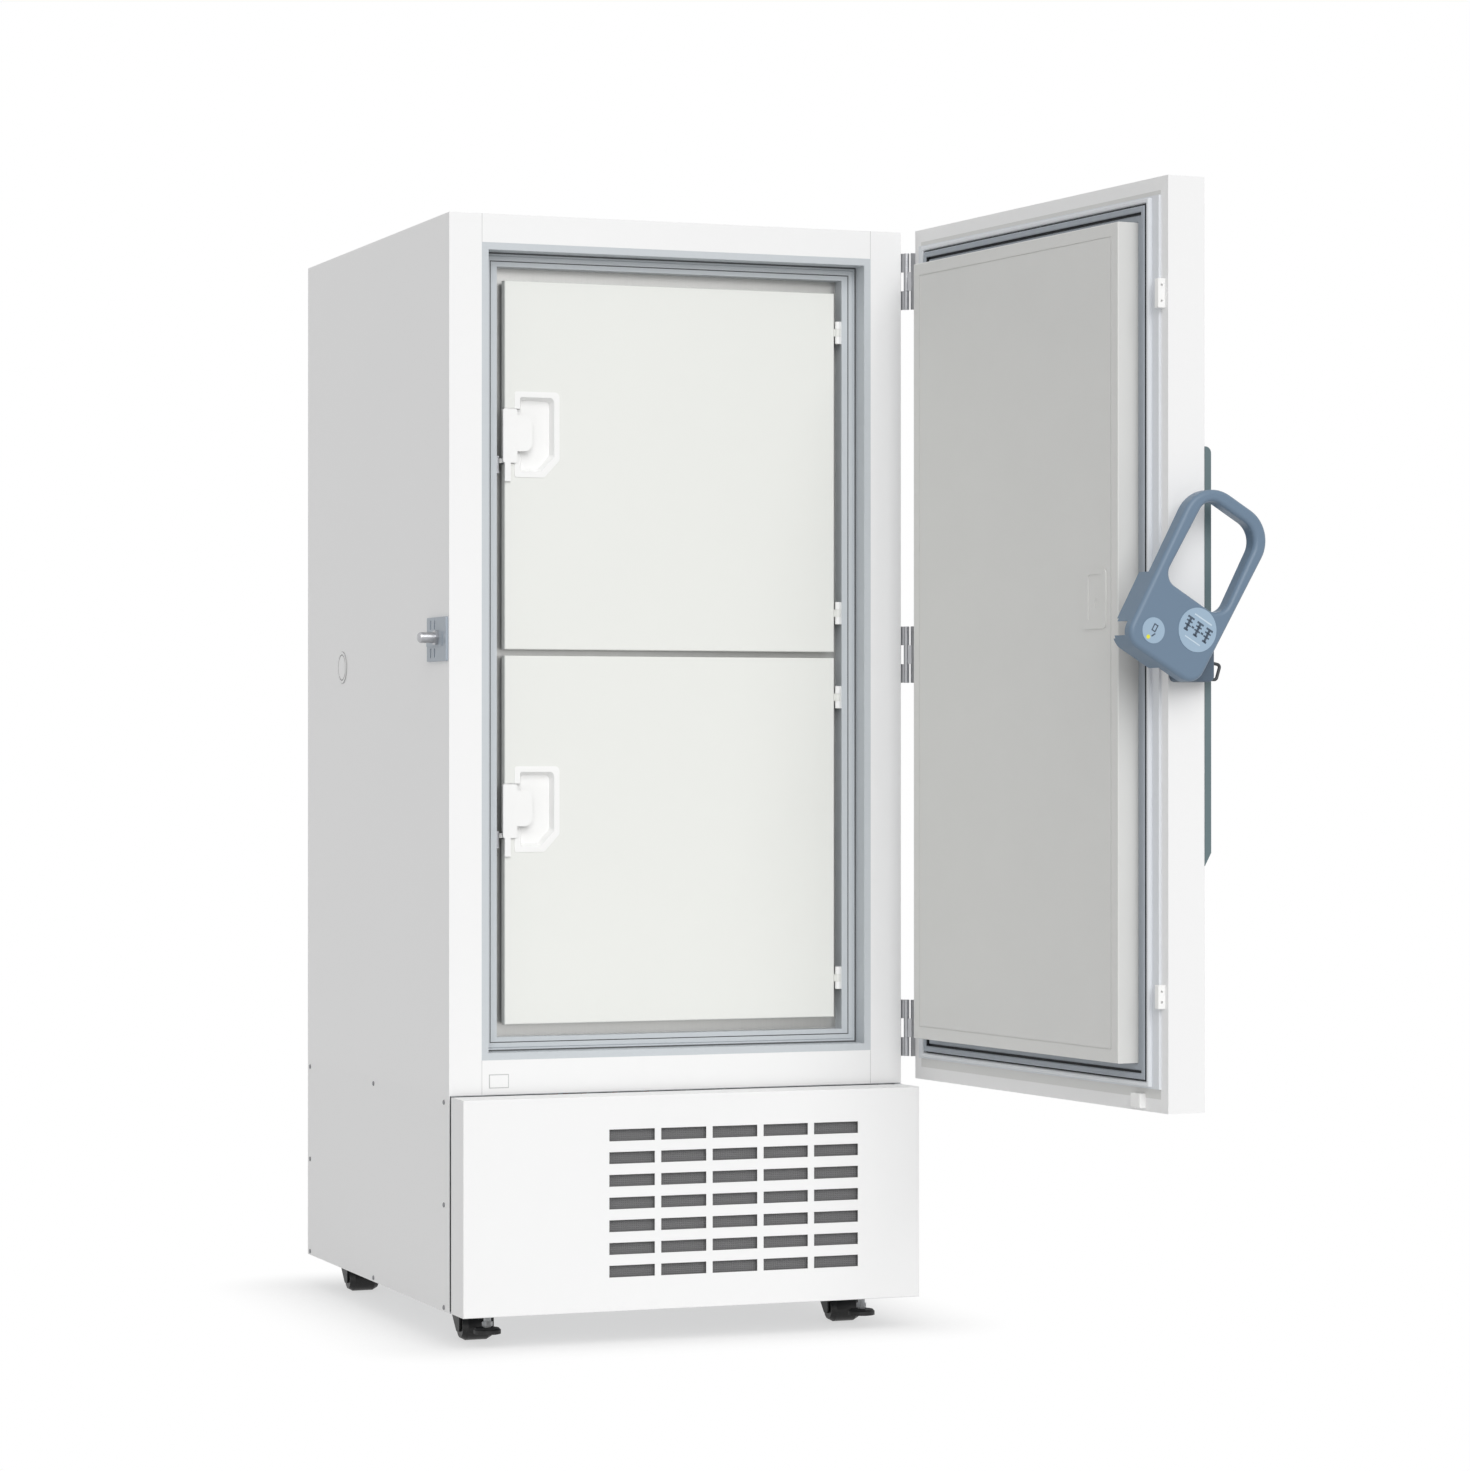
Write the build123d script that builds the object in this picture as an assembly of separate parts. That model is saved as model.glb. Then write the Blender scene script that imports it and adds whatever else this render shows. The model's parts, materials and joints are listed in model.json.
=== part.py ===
from build123d import *
import os
from math import atan2, cos, degrees, radians, sin, sqrt

# An upright ultra low temperature freezer, in millimetres.
# X runs to the right, Y to the back and Z up. The origin is on the floor, under the middle of the
# cabinet's front face. The main door is drawn closed and then swung open about its hinges.

# Cabinet
CABINET_WIDTH = 785.0
CABINET_DEPTH = 865.0
FLOOR_GAP = 56.0
BASE_HEIGHT = 348.0
CHAMBER_HEIGHT = 1416.0
SKIN = 1.2
FRONT_RETURN = 54.5
HEADER_HEIGHT = 46.0
SILL_HEIGHT = 55.5
BUTTON_SIZE = (32.0, 21.0)
BUTTON_INSET = 13.0
BUTTON_RISE = 0.8

# Throat round the opening, as insets from the opening's edge and depths behind the front face
THROAT_LIP = 11.5
THROAT_WALL = 3.0
RECESS_DEPTH = 37.0
STEP_WIDTH = 25.5
STEP_HEIGHT = 22.5
CORNER_GROOVE = 2.5
BEAD_INSET = 5.5
BEAD_WIDTH = 8.0
BEAD_RISE = 1.6
LINE_GROOVE = 1.6
GROOVE_DEPTH = 1.5
FLANGE_DEPTH = 65.0

# Cold chamber
LINER_SHEET = 1.5
BACK_WALL = 140.0
CHAMBER_EDGE = 10.7
MULLION_DEPTH = 40.0
SHELF_SHEET = 1.5
SHELF_LIP = 18.0
SHELF_COUNT = 3
SHELF_FRONT = 12.0
SHELF_GAP = 3.0
RAIL_SECTION = 10.0

# Inner doors
INNER_SIDE_GAP = 13.3
INNER_BOTTOM_GAP = 20.0
INNER_TOP_GAP = 22.0
INNER_DOOR_SPLIT = 10.0
INNER_PAN = 16.5
INNER_PLUG = 20.0
INNER_PLUG_GAP = 6.0
INNER_CORNER = 2.0
SEAL_INSET = 5.0
SEAL_WIDTH = 22.0
SEAL_CLEARANCE = 0.3
INNER_HINGE_RADIUS = 4.8
INNER_HINGE_HEIGHT = 37.0
INNER_HINGE_INSET = 46.5
INNER_HINGE_FORWARD = 1.0
INNER_LEAF = 1.5

# Latch on each inner door
LATCH_LOW = 279.0
LATCH_HEIGHT = 139.0
LATCH_WIDTH = 76.5
LATCH_INSET = 16.7
LATCH_CHAMFER = (26.3, 28.6)
LATCH_RIM = 9.0
LATCH_PROUD = 1.0
LATCH_SINK = 11.0
LATCH_DRAFT = 5.0
LEVER_FACE = 4.0
LEVER_SHEET = 3.5
LEVER_LOW = 302.0
LEVER_HEIGHT = 87.0
LEVER_WIDTH = 24.0
LEVER_OVERHANG = 3.6
TONGUE_LENGTH = 25.5
TONGUE_HEIGHT = 58.0
TONGUE_LOW = 19.0
LATCH_AXIS_INSET = 1.7
LATCH_AXIS_DEPTH = 4.0
LATCH_HUB = 4.3
LATCH_PIN = 2.0
STRIKER_OFFSET = 9.3
STRIKER_DEPTH = 8.0
STRIKER_PIN = 2.5
STRIKER_LOW = 285.5
STRIKER_HEIGHT = 27.5
HOOK_REACH = 8.0
HOOK_SHEET = 2.5
HOOK_SLACK = 1.0
HOOK_SLOT = 4.5
LEVER_TAB = 2.0

# Main door, drawn closed
DOOR_GAP = 12.5
DOOR_THICKNESS = 64.9
DOOR_BOTTOM_GAP = 7.4
DOOR_OVERHANG = 2.0
DOOR_EDGE_ROUND = 1.5
DOOR_FLANGE = 20.5
DOOR_LINER_SHEET = 3.0
PLUG_SIDE_GAP = 6.5
PLUG_TOP_GAP = 5.3
PLUG_BOTTOM_GAP = 13.0
PLUG_FACE_GAP = 6.0
PLUG_GROOVE_INSET = 20.0
OPEN_ANGLE = 95.68
HINGE_OUT = 9.8
HINGE_FORWARD = 1.4

# Door gasket
GASKET_SKIRT = 53.0
GASKET_SKIRT_HEIGHT = 37.0
GASKET_SKIRT_RISE = 4.5
GASKET_TOUCH = 0.3
GASKET_RIBS = ((0.0, 11.5, 4.0), (14.5, 24.0, 0.0), (27.0, 34.0, 1.2))

# Main hinges
HINGE_HEIGHT = 94.0
HINGE_INSET = 36.6
HINGE_BARREL = 4.8
HINGE_PIN = 2.6
LEAF_SHEET = 2.5
LEAF_LENGTH = 34.0
LEAF_START = 5.0
RUNNING_GAP = 0.05
KNUCKLE_GAP = 0.3

# Small pieces on the door
BUMPER_WIDTH = 11.0
BUMPER_RISE = 12.0
BUMPER_LENGTHS = (44.0, 36.0)
BUMPER_INSETS = (155.0, 157.6)
MAGNET_WIDTH = 28.0
MAGNET_HEIGHT = 22.0
MAGNET_RISE = 10.0
MAGNET_INSET = (78.5, 15.6)
PORT_SIZE = (67.0, 91.0)
PORT_WINDOW = (36.0, 70.0)
PORT_INSET = 66.5
PORT_HEIGHT = 777.1
PORT_RISE = 2.0
PORT_HOLE = (7.0, 7.5)
PORT_HOLE_SHIFT = (-5.3, -6.5)
DISPLAY_WIDTH = 160.0
DISPLAY_RISE = 11.3
DISPLAY_LENGTH = 633.0
DISPLAY_HEIGHT = 371.6
DISPLAY_ROUND = 10.0
DISPLAY_CHAMFER = (11.3, 20.0)
SCREEN_SIZE = (118.0, 92.0)
SCREEN_DROP = 60.0
SCREEN_SINK = 1.2
KEY_RADIUS = 9.0

# Handle on the door's free edge, drawn upright about its pivot, u to the cabinet and v up
PIVOT_FORWARD = 27.0
PIVOT_HEIGHT = 733.0
REST_TILT = 30.0
HANDLE_OUTLINE = ((-42.5, -75.5), (102.0, -75.5), (107.5, 205.5), (-47.5, 205.5))
HANDLE_ROUNDS = (27.0, 28.0, 57.0, 52.0)
LOOP_OUTLINE = ((-29.5, 37.0), (86.5, 38.0), (83.0, 184.0), (-25.0, 184.0))
LOOP_ROUNDS = (25.0, 21.0, 25.0, 33.0)
HANDLE_BACK = 34.0
HANDLE_FACE = 58.0
HANDLE_EDGE = 7.0
HANDLE_WALL = 4.0
SKIRT_BACK = 7.0
SKIRT_OUTLINE = ((18.0, -90.0), (120.0, -90.0), (120.0, 40.0), (44.0, 40.0), (18.0, 0.0))
BASE_Y = (-75.0, -14.0)
BASE_REACH = (77.0, 28.0)
BASE_FACE = 31.0
BASE_ROUND = 9.0
PIVOT_PIN = 9.0
PIVOT_BOSS = 15.0
CAM_BACK = 20.0
CAM_SHEET = 4.0
CAM_SLACK = 1.75
LOCK_PIN_Y = 52.0
LOCK_PIN_RISE = 2.0
LOCK_PIN_RADIUS = 8.75
LOCK_PIN_LENGTH = 37.5
LOCK_NUT_RADIUS = 13.0
LOCK_NUT_HEIGHT = 6.0
LOCK_NUT_SLACK = 2.0
MOUTH_DEPTH = 41.0
PIN_WAY = 60.0
BRACKET_SHEET = 4.0
BRACKET_Y = (6.0, 111.0)
BRACKET_REACH = (36.0, 35.0)
BRACKET_SLOT = (5.0, 16.0)
BRACKET_SLOT_Y = (68.0, 90.0)
LOOP_ROD = 2.5
PADLOCK_REACH = 22.0
PADLOCK_HEIGHT = 26.0

# Access port on the left side
ACCESS_INSET = 231.0
ACCESS_HEIGHT = 697.0
ACCESS_RADIUS = 28.0
ACCESS_RISE = 1.6

# Service panel with its grille
PANEL_GAP = 11.0
PANEL_DEPTH = 66.4
PANEL_LIFT = 1.0
PANEL_DROP = 1.5
SLOT_SIZE = (77.5, 19.0)
SLOT_PITCH = (88.4, 36.4)
SLOT_COLUMNS = 5
SLOT_ROWS = 7
GRILLE_LEFT = -148.0
GRILLE_TOP = 349.1
FILTER_GAP = 7.0
FILTER_THICKNESS = 8.0
FILTER_MARGIN = 14.0
PANEL_PIVOT = (6.5, 3.0)
PANEL_PIN = 3.0
LUG_HALF = 5.0
LUG_HEIGHT = 4.0
LUG_FOOT = 18.0
LUG_NOTCH = 18.0

# Base
CHASSIS_SHEET = 3.0
POST_SECTION = 30.0
POST_FRONT = 25.0
DECK_SHEET = 1.2
SCREW_RADIUS = 4.0
SCREW_RISE = 1.8
SCREW_FRONT_INSET = 28.0
SCREW_BACK_INSET = 16.0
SCREW_TOP_INSET = 12.0
SCREW_BOTTOM_INSET = 6.5
LOUVRE_COUNT = 9
LOUVRE_SIZE = (240.0, 8.0)
LOUVRE_PITCH = 22.0

# Casters and feet
CASTER_SIDE_INSET = 70.5
CASTER_FRONT_INSET = 87.0
CASTER_BACK_INSET = 105.0
CASTER_TRAIL = 18.0
WHEEL_RADIUS = 22.0
WHEEL_WIDTH = 52.0
WHEEL_TREAD = 35.0
WHEEL_SHOULDER = 17.5
AXLE_RADIUS = 3.0
FORK_SHEET = 2.5
FORK_SIDE_GAP = 1.0
RACE_RADIUS = 20.0
CASTER_PLATE = 3.0
CASTER_PLATE_HALF = (38.0, 34.0)
WHEEL_TOP_GAP = 1.5
AXLE_BOSS = 8.0
KING_PIN = 5.0
FOOT_SIDE_INSET = 67.1
FOOT_FRONT_INSET = 10.0
FOOT_RADIUS = 22.0
FOOT_LIFT = 20.0
FOOT_DISC = 9.0
FOOT_STUD = 6.0
FOOT_NUT = 9.0
FOOT_NUT_HEIGHT = 7.0
STUD_TOP = 92.0

# Machinery in the base
COMPRESSOR_RADIUS = 82.0
COMPRESSOR_ROOM = 118.8
COMPRESSOR_SIDE_INSETS = (187.5, 262.5)
COMPRESSOR_BACK_INSET = 225.0
COMPRESSOR_FOOT = 10.0
EXCHANGER_RADIUS = 52.0
EXCHANGER_ROOM = 108.8
EXCHANGER_X = -40.0
EXCHANGER_BACK_INSET = 425.0
CONDENSER_SIDE_INSETS = (232.5, 92.5)
CONDENSER_Y = (45.0, 95.0)
CONDENSER_LIFT = 16.0
CONDENSER_ROOM = 87.8
FIN_PITCH = 15.0
FIN_GROOVE = 4.0
FAN_MARGIN = 10.0
FAN_TIP_GAP = 4.0
FAN_BLADES = 5
BLADE_SHEET = 2.0
BLADE_CHORD = 52.0
FAN_HUB = 26.0
FAN_HUB_DEPTH = 24.0
FAN_SHAFT = 4.0
SHROUD_SHEET = 2.0
SHROUD_DEPTH = 34.0
MOTOR_RADIUS = 38.0
MOTOR_LENGTH = 60.0
MOTOR_STANDOFF = 10.0
CONTROL_WIDTH = 186.3
CONTROL_Y = (60.0, 190.0)
CONTROL_INSETS = (64.0, 39.0)
PIPE_RADIUS = 5.0
PIPE_BEND = 16.0
STUB_HEIGHT = 10.0
STUB_SPREAD = 25.0
PIPE_STEP = 12.0
INLET_SIDE_INSET = 142.5
INLET_DROP = 74.0
INLET_SIZE = (48.0, 30.0)
INLET_DEPTH = 26.0
INLET_RIM = 4.0

# Planes and edges that the pieces share
HALF = CABINET_WIDTH / 2
SEAM = FLOOR_GAP + BASE_HEIGHT
TOP = SEAM + CHAMBER_HEIGHT
OPENING = (HALF - FRONT_RETURN, SEAM + SILL_HEIGHT, TOP - HEADER_HEIGHT)


def inset(rect, side, ends=None):
    """A rectangle (half width, low, high) shrunk by one amount at its sides and one at its ends."""
    ends = side if ends is None else ends
    return (rect[0] - side, rect[1] + ends, rect[2] - ends)


RECESS = inset(OPENING, THROAT_LIP)
THROAT = inset(RECESS, STEP_WIDTH, STEP_HEIGHT)
INNER_HALF = THROAT[0] - INNER_SIDE_GAP
INNER_LOW = THROAT[1] + INNER_BOTTOM_GAP
INNER_HIGH = THROAT[2] - INNER_TOP_GAP
INNER_DOOR_HEIGHT = (INNER_HIGH - INNER_LOW - INNER_DOOR_SPLIT) / 2
INNER_DOORS = {"lower": INNER_LOW, "upper": INNER_HIGH - INNER_DOOR_HEIGHT}
CHAMBER_INSET = SEAL_INSET + SEAL_WIDTH + CHAMBER_EDGE
CHAMBER = (INNER_HALF - CHAMBER_INSET, INNER_LOW + CHAMBER_INSET, INNER_HIGH - CHAMBER_INSET)
MULLION_MID = (INNER_LOW + INNER_HIGH) / 2
MULLION_HALF = INNER_DOOR_SPLIT / 2 + SEAL_INSET + SEAL_WIDTH + 2.0
DOOR_INNER = -DOOR_GAP
DOOR_OUTER = -DOOR_GAP - DOOR_THICKNESS
DOOR = (HALF, SEAM + DOOR_BOTTOM_GAP, TOP + DOOR_OVERHANG)
PLUG = (RECESS[0] - PLUG_SIDE_GAP, RECESS[1] + PLUG_BOTTOM_GAP, RECESS[2] - PLUG_TOP_GAP)
PLUG_FACE = RECESS_DEPTH - PLUG_FACE_GAP
HINGE = (HALF + HINGE_OUT, -HINGE_FORWARD)
INNER_HINGE = (THROAT[0] - INNER_SIDE_GAP / 2, RECESS_DEPTH + INNER_HINGE_FORWARD)
LATCH_AXIS = (-INNER_HALF + LATCH_AXIS_INSET, RECESS_DEPTH + LATCH_AXIS_DEPTH)
CHAMBER_BACK = CABINET_DEPTH - BACK_WALL
HINGE_LOWS = (DOOR[1] + HINGE_INSET, (DOOR[1] + DOOR[2] - HINGE_HEIGHT) / 2, DOOR[2] - HINGE_INSET - HINGE_HEIGHT)
BUMPER_SPANS = ((DOOR[2] - BUMPER_INSETS[0] - BUMPER_LENGTHS[0], DOOR[2] - BUMPER_INSETS[0]),
                (DOOR[1] + BUMPER_INSETS[1], DOOR[1] + BUMPER_INSETS[1] + BUMPER_LENGTHS[1]))
MAGNET_PLACE = (MAGNET_INSET[0] - HALF, DOOR[1] + MAGNET_INSET[1])
PORT_CENTRE = (PORT_INSET - PLUG[0], DOOR[1] + PORT_HEIGHT)
PORT_HOLE_PLACE = (PORT_CENTRE[0] + PORT_HOLE_SHIFT[0], PORT_CENTRE[1] + PORT_HOLE_SHIFT[1])
DISPLAY_SPAN = (DOOR[1] + DISPLAY_HEIGHT, DOOR[1] + DISPLAY_HEIGHT + DISPLAY_LENGTH)
PIVOT = (-PIVOT_FORWARD, SEAM + PIVOT_HEIGHT)
BASE_Z = (PIVOT[1] - BASE_REACH[0], PIVOT[1] + BASE_REACH[1])
BRACKET_Z = (PIVOT[1] - BRACKET_REACH[0], PIVOT[1] + BRACKET_REACH[1])
ACCESS_CENTRE = (CABINET_DEPTH - ACCESS_INSET, SEAM + ACCESS_HEIGHT)
TRAY_TOP = FLOOR_GAP + CHASSIS_SHEET
DECK = SEAM - DECK_SHEET
CASTER_X = HALF - CASTER_SIDE_INSET
CASTER_CONTACT_Y = (CASTER_FRONT_INSET, CABINET_DEPTH - CASTER_BACK_INSET)
FOOT_PLACE = (HALF - FOOT_SIDE_INSET, FOOT_FRONT_INSET)
COMPRESSOR_Y = CABINET_DEPTH - COMPRESSOR_BACK_INSET
COMPRESSOR_PLACES = ((COMPRESSOR_SIDE_INSETS[0] - HALF, COMPRESSOR_Y),
                     (HALF - COMPRESSOR_SIDE_INSETS[1], COMPRESSOR_Y))
EXCHANGER_PLACE = (EXCHANGER_X, CABINET_DEPTH - EXCHANGER_BACK_INSET)
CONDENSER_X = (CONDENSER_SIDE_INSETS[0] - HALF, HALF - CONDENSER_SIDE_INSETS[1])
COMPRESSOR_TOP = DECK - COMPRESSOR_ROOM
EXCHANGER_TOP = DECK - EXCHANGER_ROOM
CONDENSER_TOP = DECK - CONDENSER_ROOM
CONDENSER_LOW = TRAY_TOP + CONDENSER_LIFT
FAN_RADIUS = (CONDENSER_TOP - CONDENSER_LOW) / 2 - FAN_MARGIN
FIRST_PIPE_LEVEL = max(COMPRESSOR_TOP, EXCHANGER_TOP, CONDENSER_TOP) + STUB_HEIGHT + PIPE_BEND + 1.0
CONTROL_X = (SKIN - HALF, SKIN + CONTROL_WIDTH - HALF)
CONTROL_Z = (FLOOR_GAP + CONTROL_INSETS[0], SEAM - CONTROL_INSETS[1])
INLET_PLACE = (INLET_SIDE_INSET - HALF, SEAM - INLET_DROP)


def block(x, y, z):
    """A plain block between low and high values on each axis."""
    size = Box(x[1] - x[0], y[1] - y[0], z[1] - z[0])
    return Pos((x[0] + x[1]) / 2, (y[0] + y[1]) / 2, (z[0] + z[1]) / 2) * size


def flat(points, rounds=None):
    """A face from its corner points, each corner rounded by its own radius."""
    face = make_face(Polyline(*points, close=True))
    if rounds is None:
        return face
    for point, radius in zip(points, rounds):
        corner = face.vertices().sort_by_distance((point[0], point[1], 0))[0]
        face = fillet(corner, radius)
    return face


def from_front(face, y0, y1):
    """Extrudes a face drawn in X and Z from y0 back to y1."""
    plane = Plane(origin=(0, y1, 0), x_dir=(1, 0, 0), z_dir=(0, -1, 0))
    return extrude(plane * face, y1 - y0)


def from_side(face, x0, x1):
    """Extrudes a face drawn in Y and Z from x0 to x1."""
    plane = Plane(origin=(x0, 0, 0), x_dir=(0, 1, 0), z_dir=(1, 0, 0))
    return extrude(plane * face, x1 - x0)


def from_below(face, z0, z1):
    """Extrudes a face drawn in X and Y from z0 up to z1."""
    return extrude(Plane.XY.offset(z0) * face, z1 - z0)


def slab(rect, y0, y1):
    """A filled rectangle (half width, low, high) between two depths."""
    return block((-rect[0], rect[0]), (y0, y1), (rect[1], rect[2]))


def ring(outer, inner, y0, y1):
    """A rectangular frame between two depths."""
    return slab(outer, y0, y1) - slab(inner, y0 - 1, y1 + 1)


def rod(start, end, radius):
    """A round bar between two points."""
    way = Vector(*end) - Vector(*start)
    plane = Plane(origin=start, z_dir=way)
    return extrude(plane * Circle(radius), way.length)


def opened(shape):
    """Swings a piece of the main door from closed to its place in the open door."""
    return Pos(*HINGE, 0) * Rot(0, 0, OPEN_ANGLE) * Pos(-HINGE[0], -HINGE[1], 0) * shape


def group(*solids):
    """Separate pieces that share one node."""
    return Compound(children=list(solids))


def side_panel(side):
    """Side sheet of the chamber, folded round to the front and the back."""
    back = CABINET_DEPTH - SKIN
    points = ((HALF, 0), (HALF, back), (HALF - SKIN, back), (HALF - SKIN, SKIN),
              (OPENING[0], SKIN), (OPENING[0], 0))
    return from_below(flat([(side * x, y) for x, y in points]), SEAM, TOP)


def top_panel():
    """Flat sheet let in between the side panels."""
    return block((SKIN - HALF, HALF - SKIN), (SKIN, CABINET_DEPTH - SKIN), (TOP - SKIN, TOP))


def back_panel():
    """Back sheet of the chamber with two upright stiffening beads."""
    sheet = block((-HALF, HALF), (CABINET_DEPTH - SKIN, CABINET_DEPTH), (SEAM, TOP))
    bead_half, bead_rise, bead_margin = 14.0, 3.0, 120.0
    points = ((-bead_half, 0), (-bead_half / 2, bead_rise), (bead_half / 2, bead_rise), (bead_half, 0))
    for x in (-HALF / 2, HALF / 2):
        corners = [(x + dx, CABINET_DEPTH + dy) for dx, dy in points]
        sheet += from_below(flat(corners), SEAM + bead_margin, TOP - bead_margin)
    return sheet


def front_rails():
    """Header and sill between the side returns, the sill with a small square cover."""
    half = OPENING[0]
    header = block((-half, half), (0, SKIN), (OPENING[2], TOP))
    sill = block((-half, half), (0, SKIN), (SEAM, OPENING[1]))
    left = BUTTON_INSET - half
    low = SEAM + 11.0
    cover = block((left, left + BUTTON_SIZE[0]), (-BUTTON_RISE, 0), (low, low + BUTTON_SIZE[1]))
    return group(header, sill + cover)


def cabinet_insulation():
    """Foam between the outer sheets and the throat and liner."""
    foam = block((SKIN - HALF, HALF - SKIN), (SKIN, CABINET_DEPTH - SKIN), (SEAM, TOP - SKIN))
    foam -= slab(OPENING, -1, THROAT_WALL)
    foam -= slab(inset(RECESS, -THROAT_WALL), -1, RECESS_DEPTH + THROAT_WALL)
    foam -= slab(inset(THROAT, -THROAT_WALL), -1, FLANGE_DEPTH + LINER_SHEET)
    foam -= slab(inset(CHAMBER, -LINER_SHEET), -1, CHAMBER_BACK + LINER_SHEET)
    return foam


def throat_frame():
    """Plastic frame that lines the opening in two steps, with a bead and grooves on its step."""
    step_back = RECESS_DEPTH + THROAT_WALL
    frame = ring(OPENING, RECESS, 0, THROAT_WALL)
    frame += ring(inset(RECESS, -THROAT_WALL), RECESS, 0, step_back)
    frame += ring(RECESS, THROAT, RECESS_DEPTH, step_back)
    frame += ring(inset(THROAT, -THROAT_WALL), THROAT, RECESS_DEPTH, FLANGE_DEPTH)
    bead_outer = inset(RECESS, BEAD_INSET)
    bead_inner = inset(bead_outer, BEAD_WIDTH)
    bead = ring(bead_outer, bead_inner, RECESS_DEPTH - BEAD_RISE, RECESS_DEPTH)
    front_edges = bead.edges().filter_by_position(Axis.Y, RECESS_DEPTH - BEAD_RISE - 0.1,
                                                  RECESS_DEPTH - BEAD_RISE + 0.1)
    frame += chamfer(front_edges, BEAD_RISE * 0.7)
    frame -= ring(RECESS, inset(RECESS, CORNER_GROOVE), RECESS_DEPTH, RECESS_DEPTH + GROOVE_DEPTH)
    frame -= ring(bead_inner, inset(bead_inner, LINE_GROOVE), RECESS_DEPTH, RECESS_DEPTH + GROOVE_DEPTH)
    return frame


def inner_liner():
    """Stainless chamber, one folded box with a wide front flange for the inner door seals."""
    back = CHAMBER_BACK + LINER_SHEET
    liner = ring(inset(THROAT, -THROAT_WALL), CHAMBER, FLANGE_DEPTH, FLANGE_DEPTH + LINER_SHEET)
    shell = slab(inset(CHAMBER, -LINER_SHEET), FLANGE_DEPTH, back)
    return liner + (shell - slab(CHAMBER, FLANGE_DEPTH - 1, CHAMBER_BACK))


def shelf_levels():
    """Undersides of the shelves: the middle one behind the mullion, the others halfway."""
    middle = MULLION_MID
    low = (CHAMBER[1] + middle) / 2
    high = (CHAMBER[2] + middle) / 2
    return (low, middle, high)[:SHELF_COUNT]


def shelf(level):
    """One tray shelf with its front and back edges turned down."""
    half = CHAMBER[0] - SHELF_GAP
    front = FLANGE_DEPTH + MULLION_DEPTH + SHELF_FRONT
    back = CHAMBER_BACK - SHELF_GAP
    tray = block((-half, half), (front, back), (level, level + SHELF_SHEET))
    for y in (front, back - SHELF_SHEET):
        tray += block((-half, half), (y, y + SHELF_SHEET), (level - SHELF_LIP, level))
    return tray


def shelf_rail(side, level):
    """Angle strip on the chamber wall that carries a shelf."""
    wall = CHAMBER[0]
    points = ((wall, level), (wall - RAIL_SECTION, level), (wall - RAIL_SECTION, level - SHELF_SHEET),
              (wall - SHELF_SHEET, level - SHELF_SHEET), (wall - SHELF_SHEET, level - RAIL_SECTION),
              (wall, level - RAIL_SECTION))
    front = FLANGE_DEPTH + MULLION_DEPTH + SHELF_FRONT + SHELF_SHEET + SHELF_GAP
    back = CHAMBER_BACK - 2 * SHELF_GAP - SHELF_SHEET
    return from_front(flat([(side * x, z) for x, z in points]), front, back)


def mullion():
    """Channel across the chamber's mouth that both inner doors seal against."""
    half = CHAMBER[0]
    low, high = MULLION_MID - MULLION_HALF, MULLION_MID + MULLION_HALF
    front, back = FLANGE_DEPTH, FLANGE_DEPTH + MULLION_DEPTH
    bar = block((-half, half), (front, back), (low, high))
    inside = block((-half - 1, half + 1), (front + LINER_SHEET, back + 1),
                   (low + LINER_SHEET, high - LINER_SHEET))
    return bar - inside


def shelves():
    """Three shelves, the rails that carry them, and the mullion."""
    pieces = [mullion()]
    for level in shelf_levels():
        pieces.append(shelf(level))
        pieces.append(shelf_rail(-1, level))
        pieces.append(shelf_rail(1, level))
    return group(*pieces)


def inner_door_rect(which):
    """Half width, low and high edge of one inner door."""
    low = INNER_DOORS[which]
    return (INNER_HALF, low, low + INNER_DOOR_HEIGHT)


def latch_face(low, margin=0.0):
    """Latch plate outline with its lower corner cut off, shrunk by a margin."""
    left = LATCH_INSET - INNER_HALF + margin
    right = LATCH_INSET - INNER_HALF + LATCH_WIDTH - margin
    bottom = low + LATCH_LOW + margin
    top = low + LATCH_LOW + LATCH_HEIGHT - margin
    cut_x, cut_z = LATCH_CHAMFER
    slope = margin * 0.4
    points = ((left, bottom), (right - cut_x + slope, bottom), (right, bottom + cut_z - slope),
              (right, top), (left, top))
    return flat(points, (4.0, 8.0, 8.0, 8.0, 4.0))


def latch_notch(low):
    """Space at the inner door's edge for the latch lever's hub, and a slot for its hook."""
    bottom = low + LEVER_LOW - 2.0
    front, back = RECESS_DEPTH - 1, RECESS_DEPTH + INNER_PAN
    hub = block((-INNER_HALF - 1, LATCH_INSET - INNER_HALF), (front, back - SKIN),
                (bottom, bottom + LEVER_HEIGHT + 4.0))
    slot = block((-INNER_HALF - 1, HOOK_SLOT - INNER_HALF), (front, back + 1),
                 (bottom, low + STRIKER_LOW + STRIKER_HEIGHT))
    return hub + slot


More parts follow.
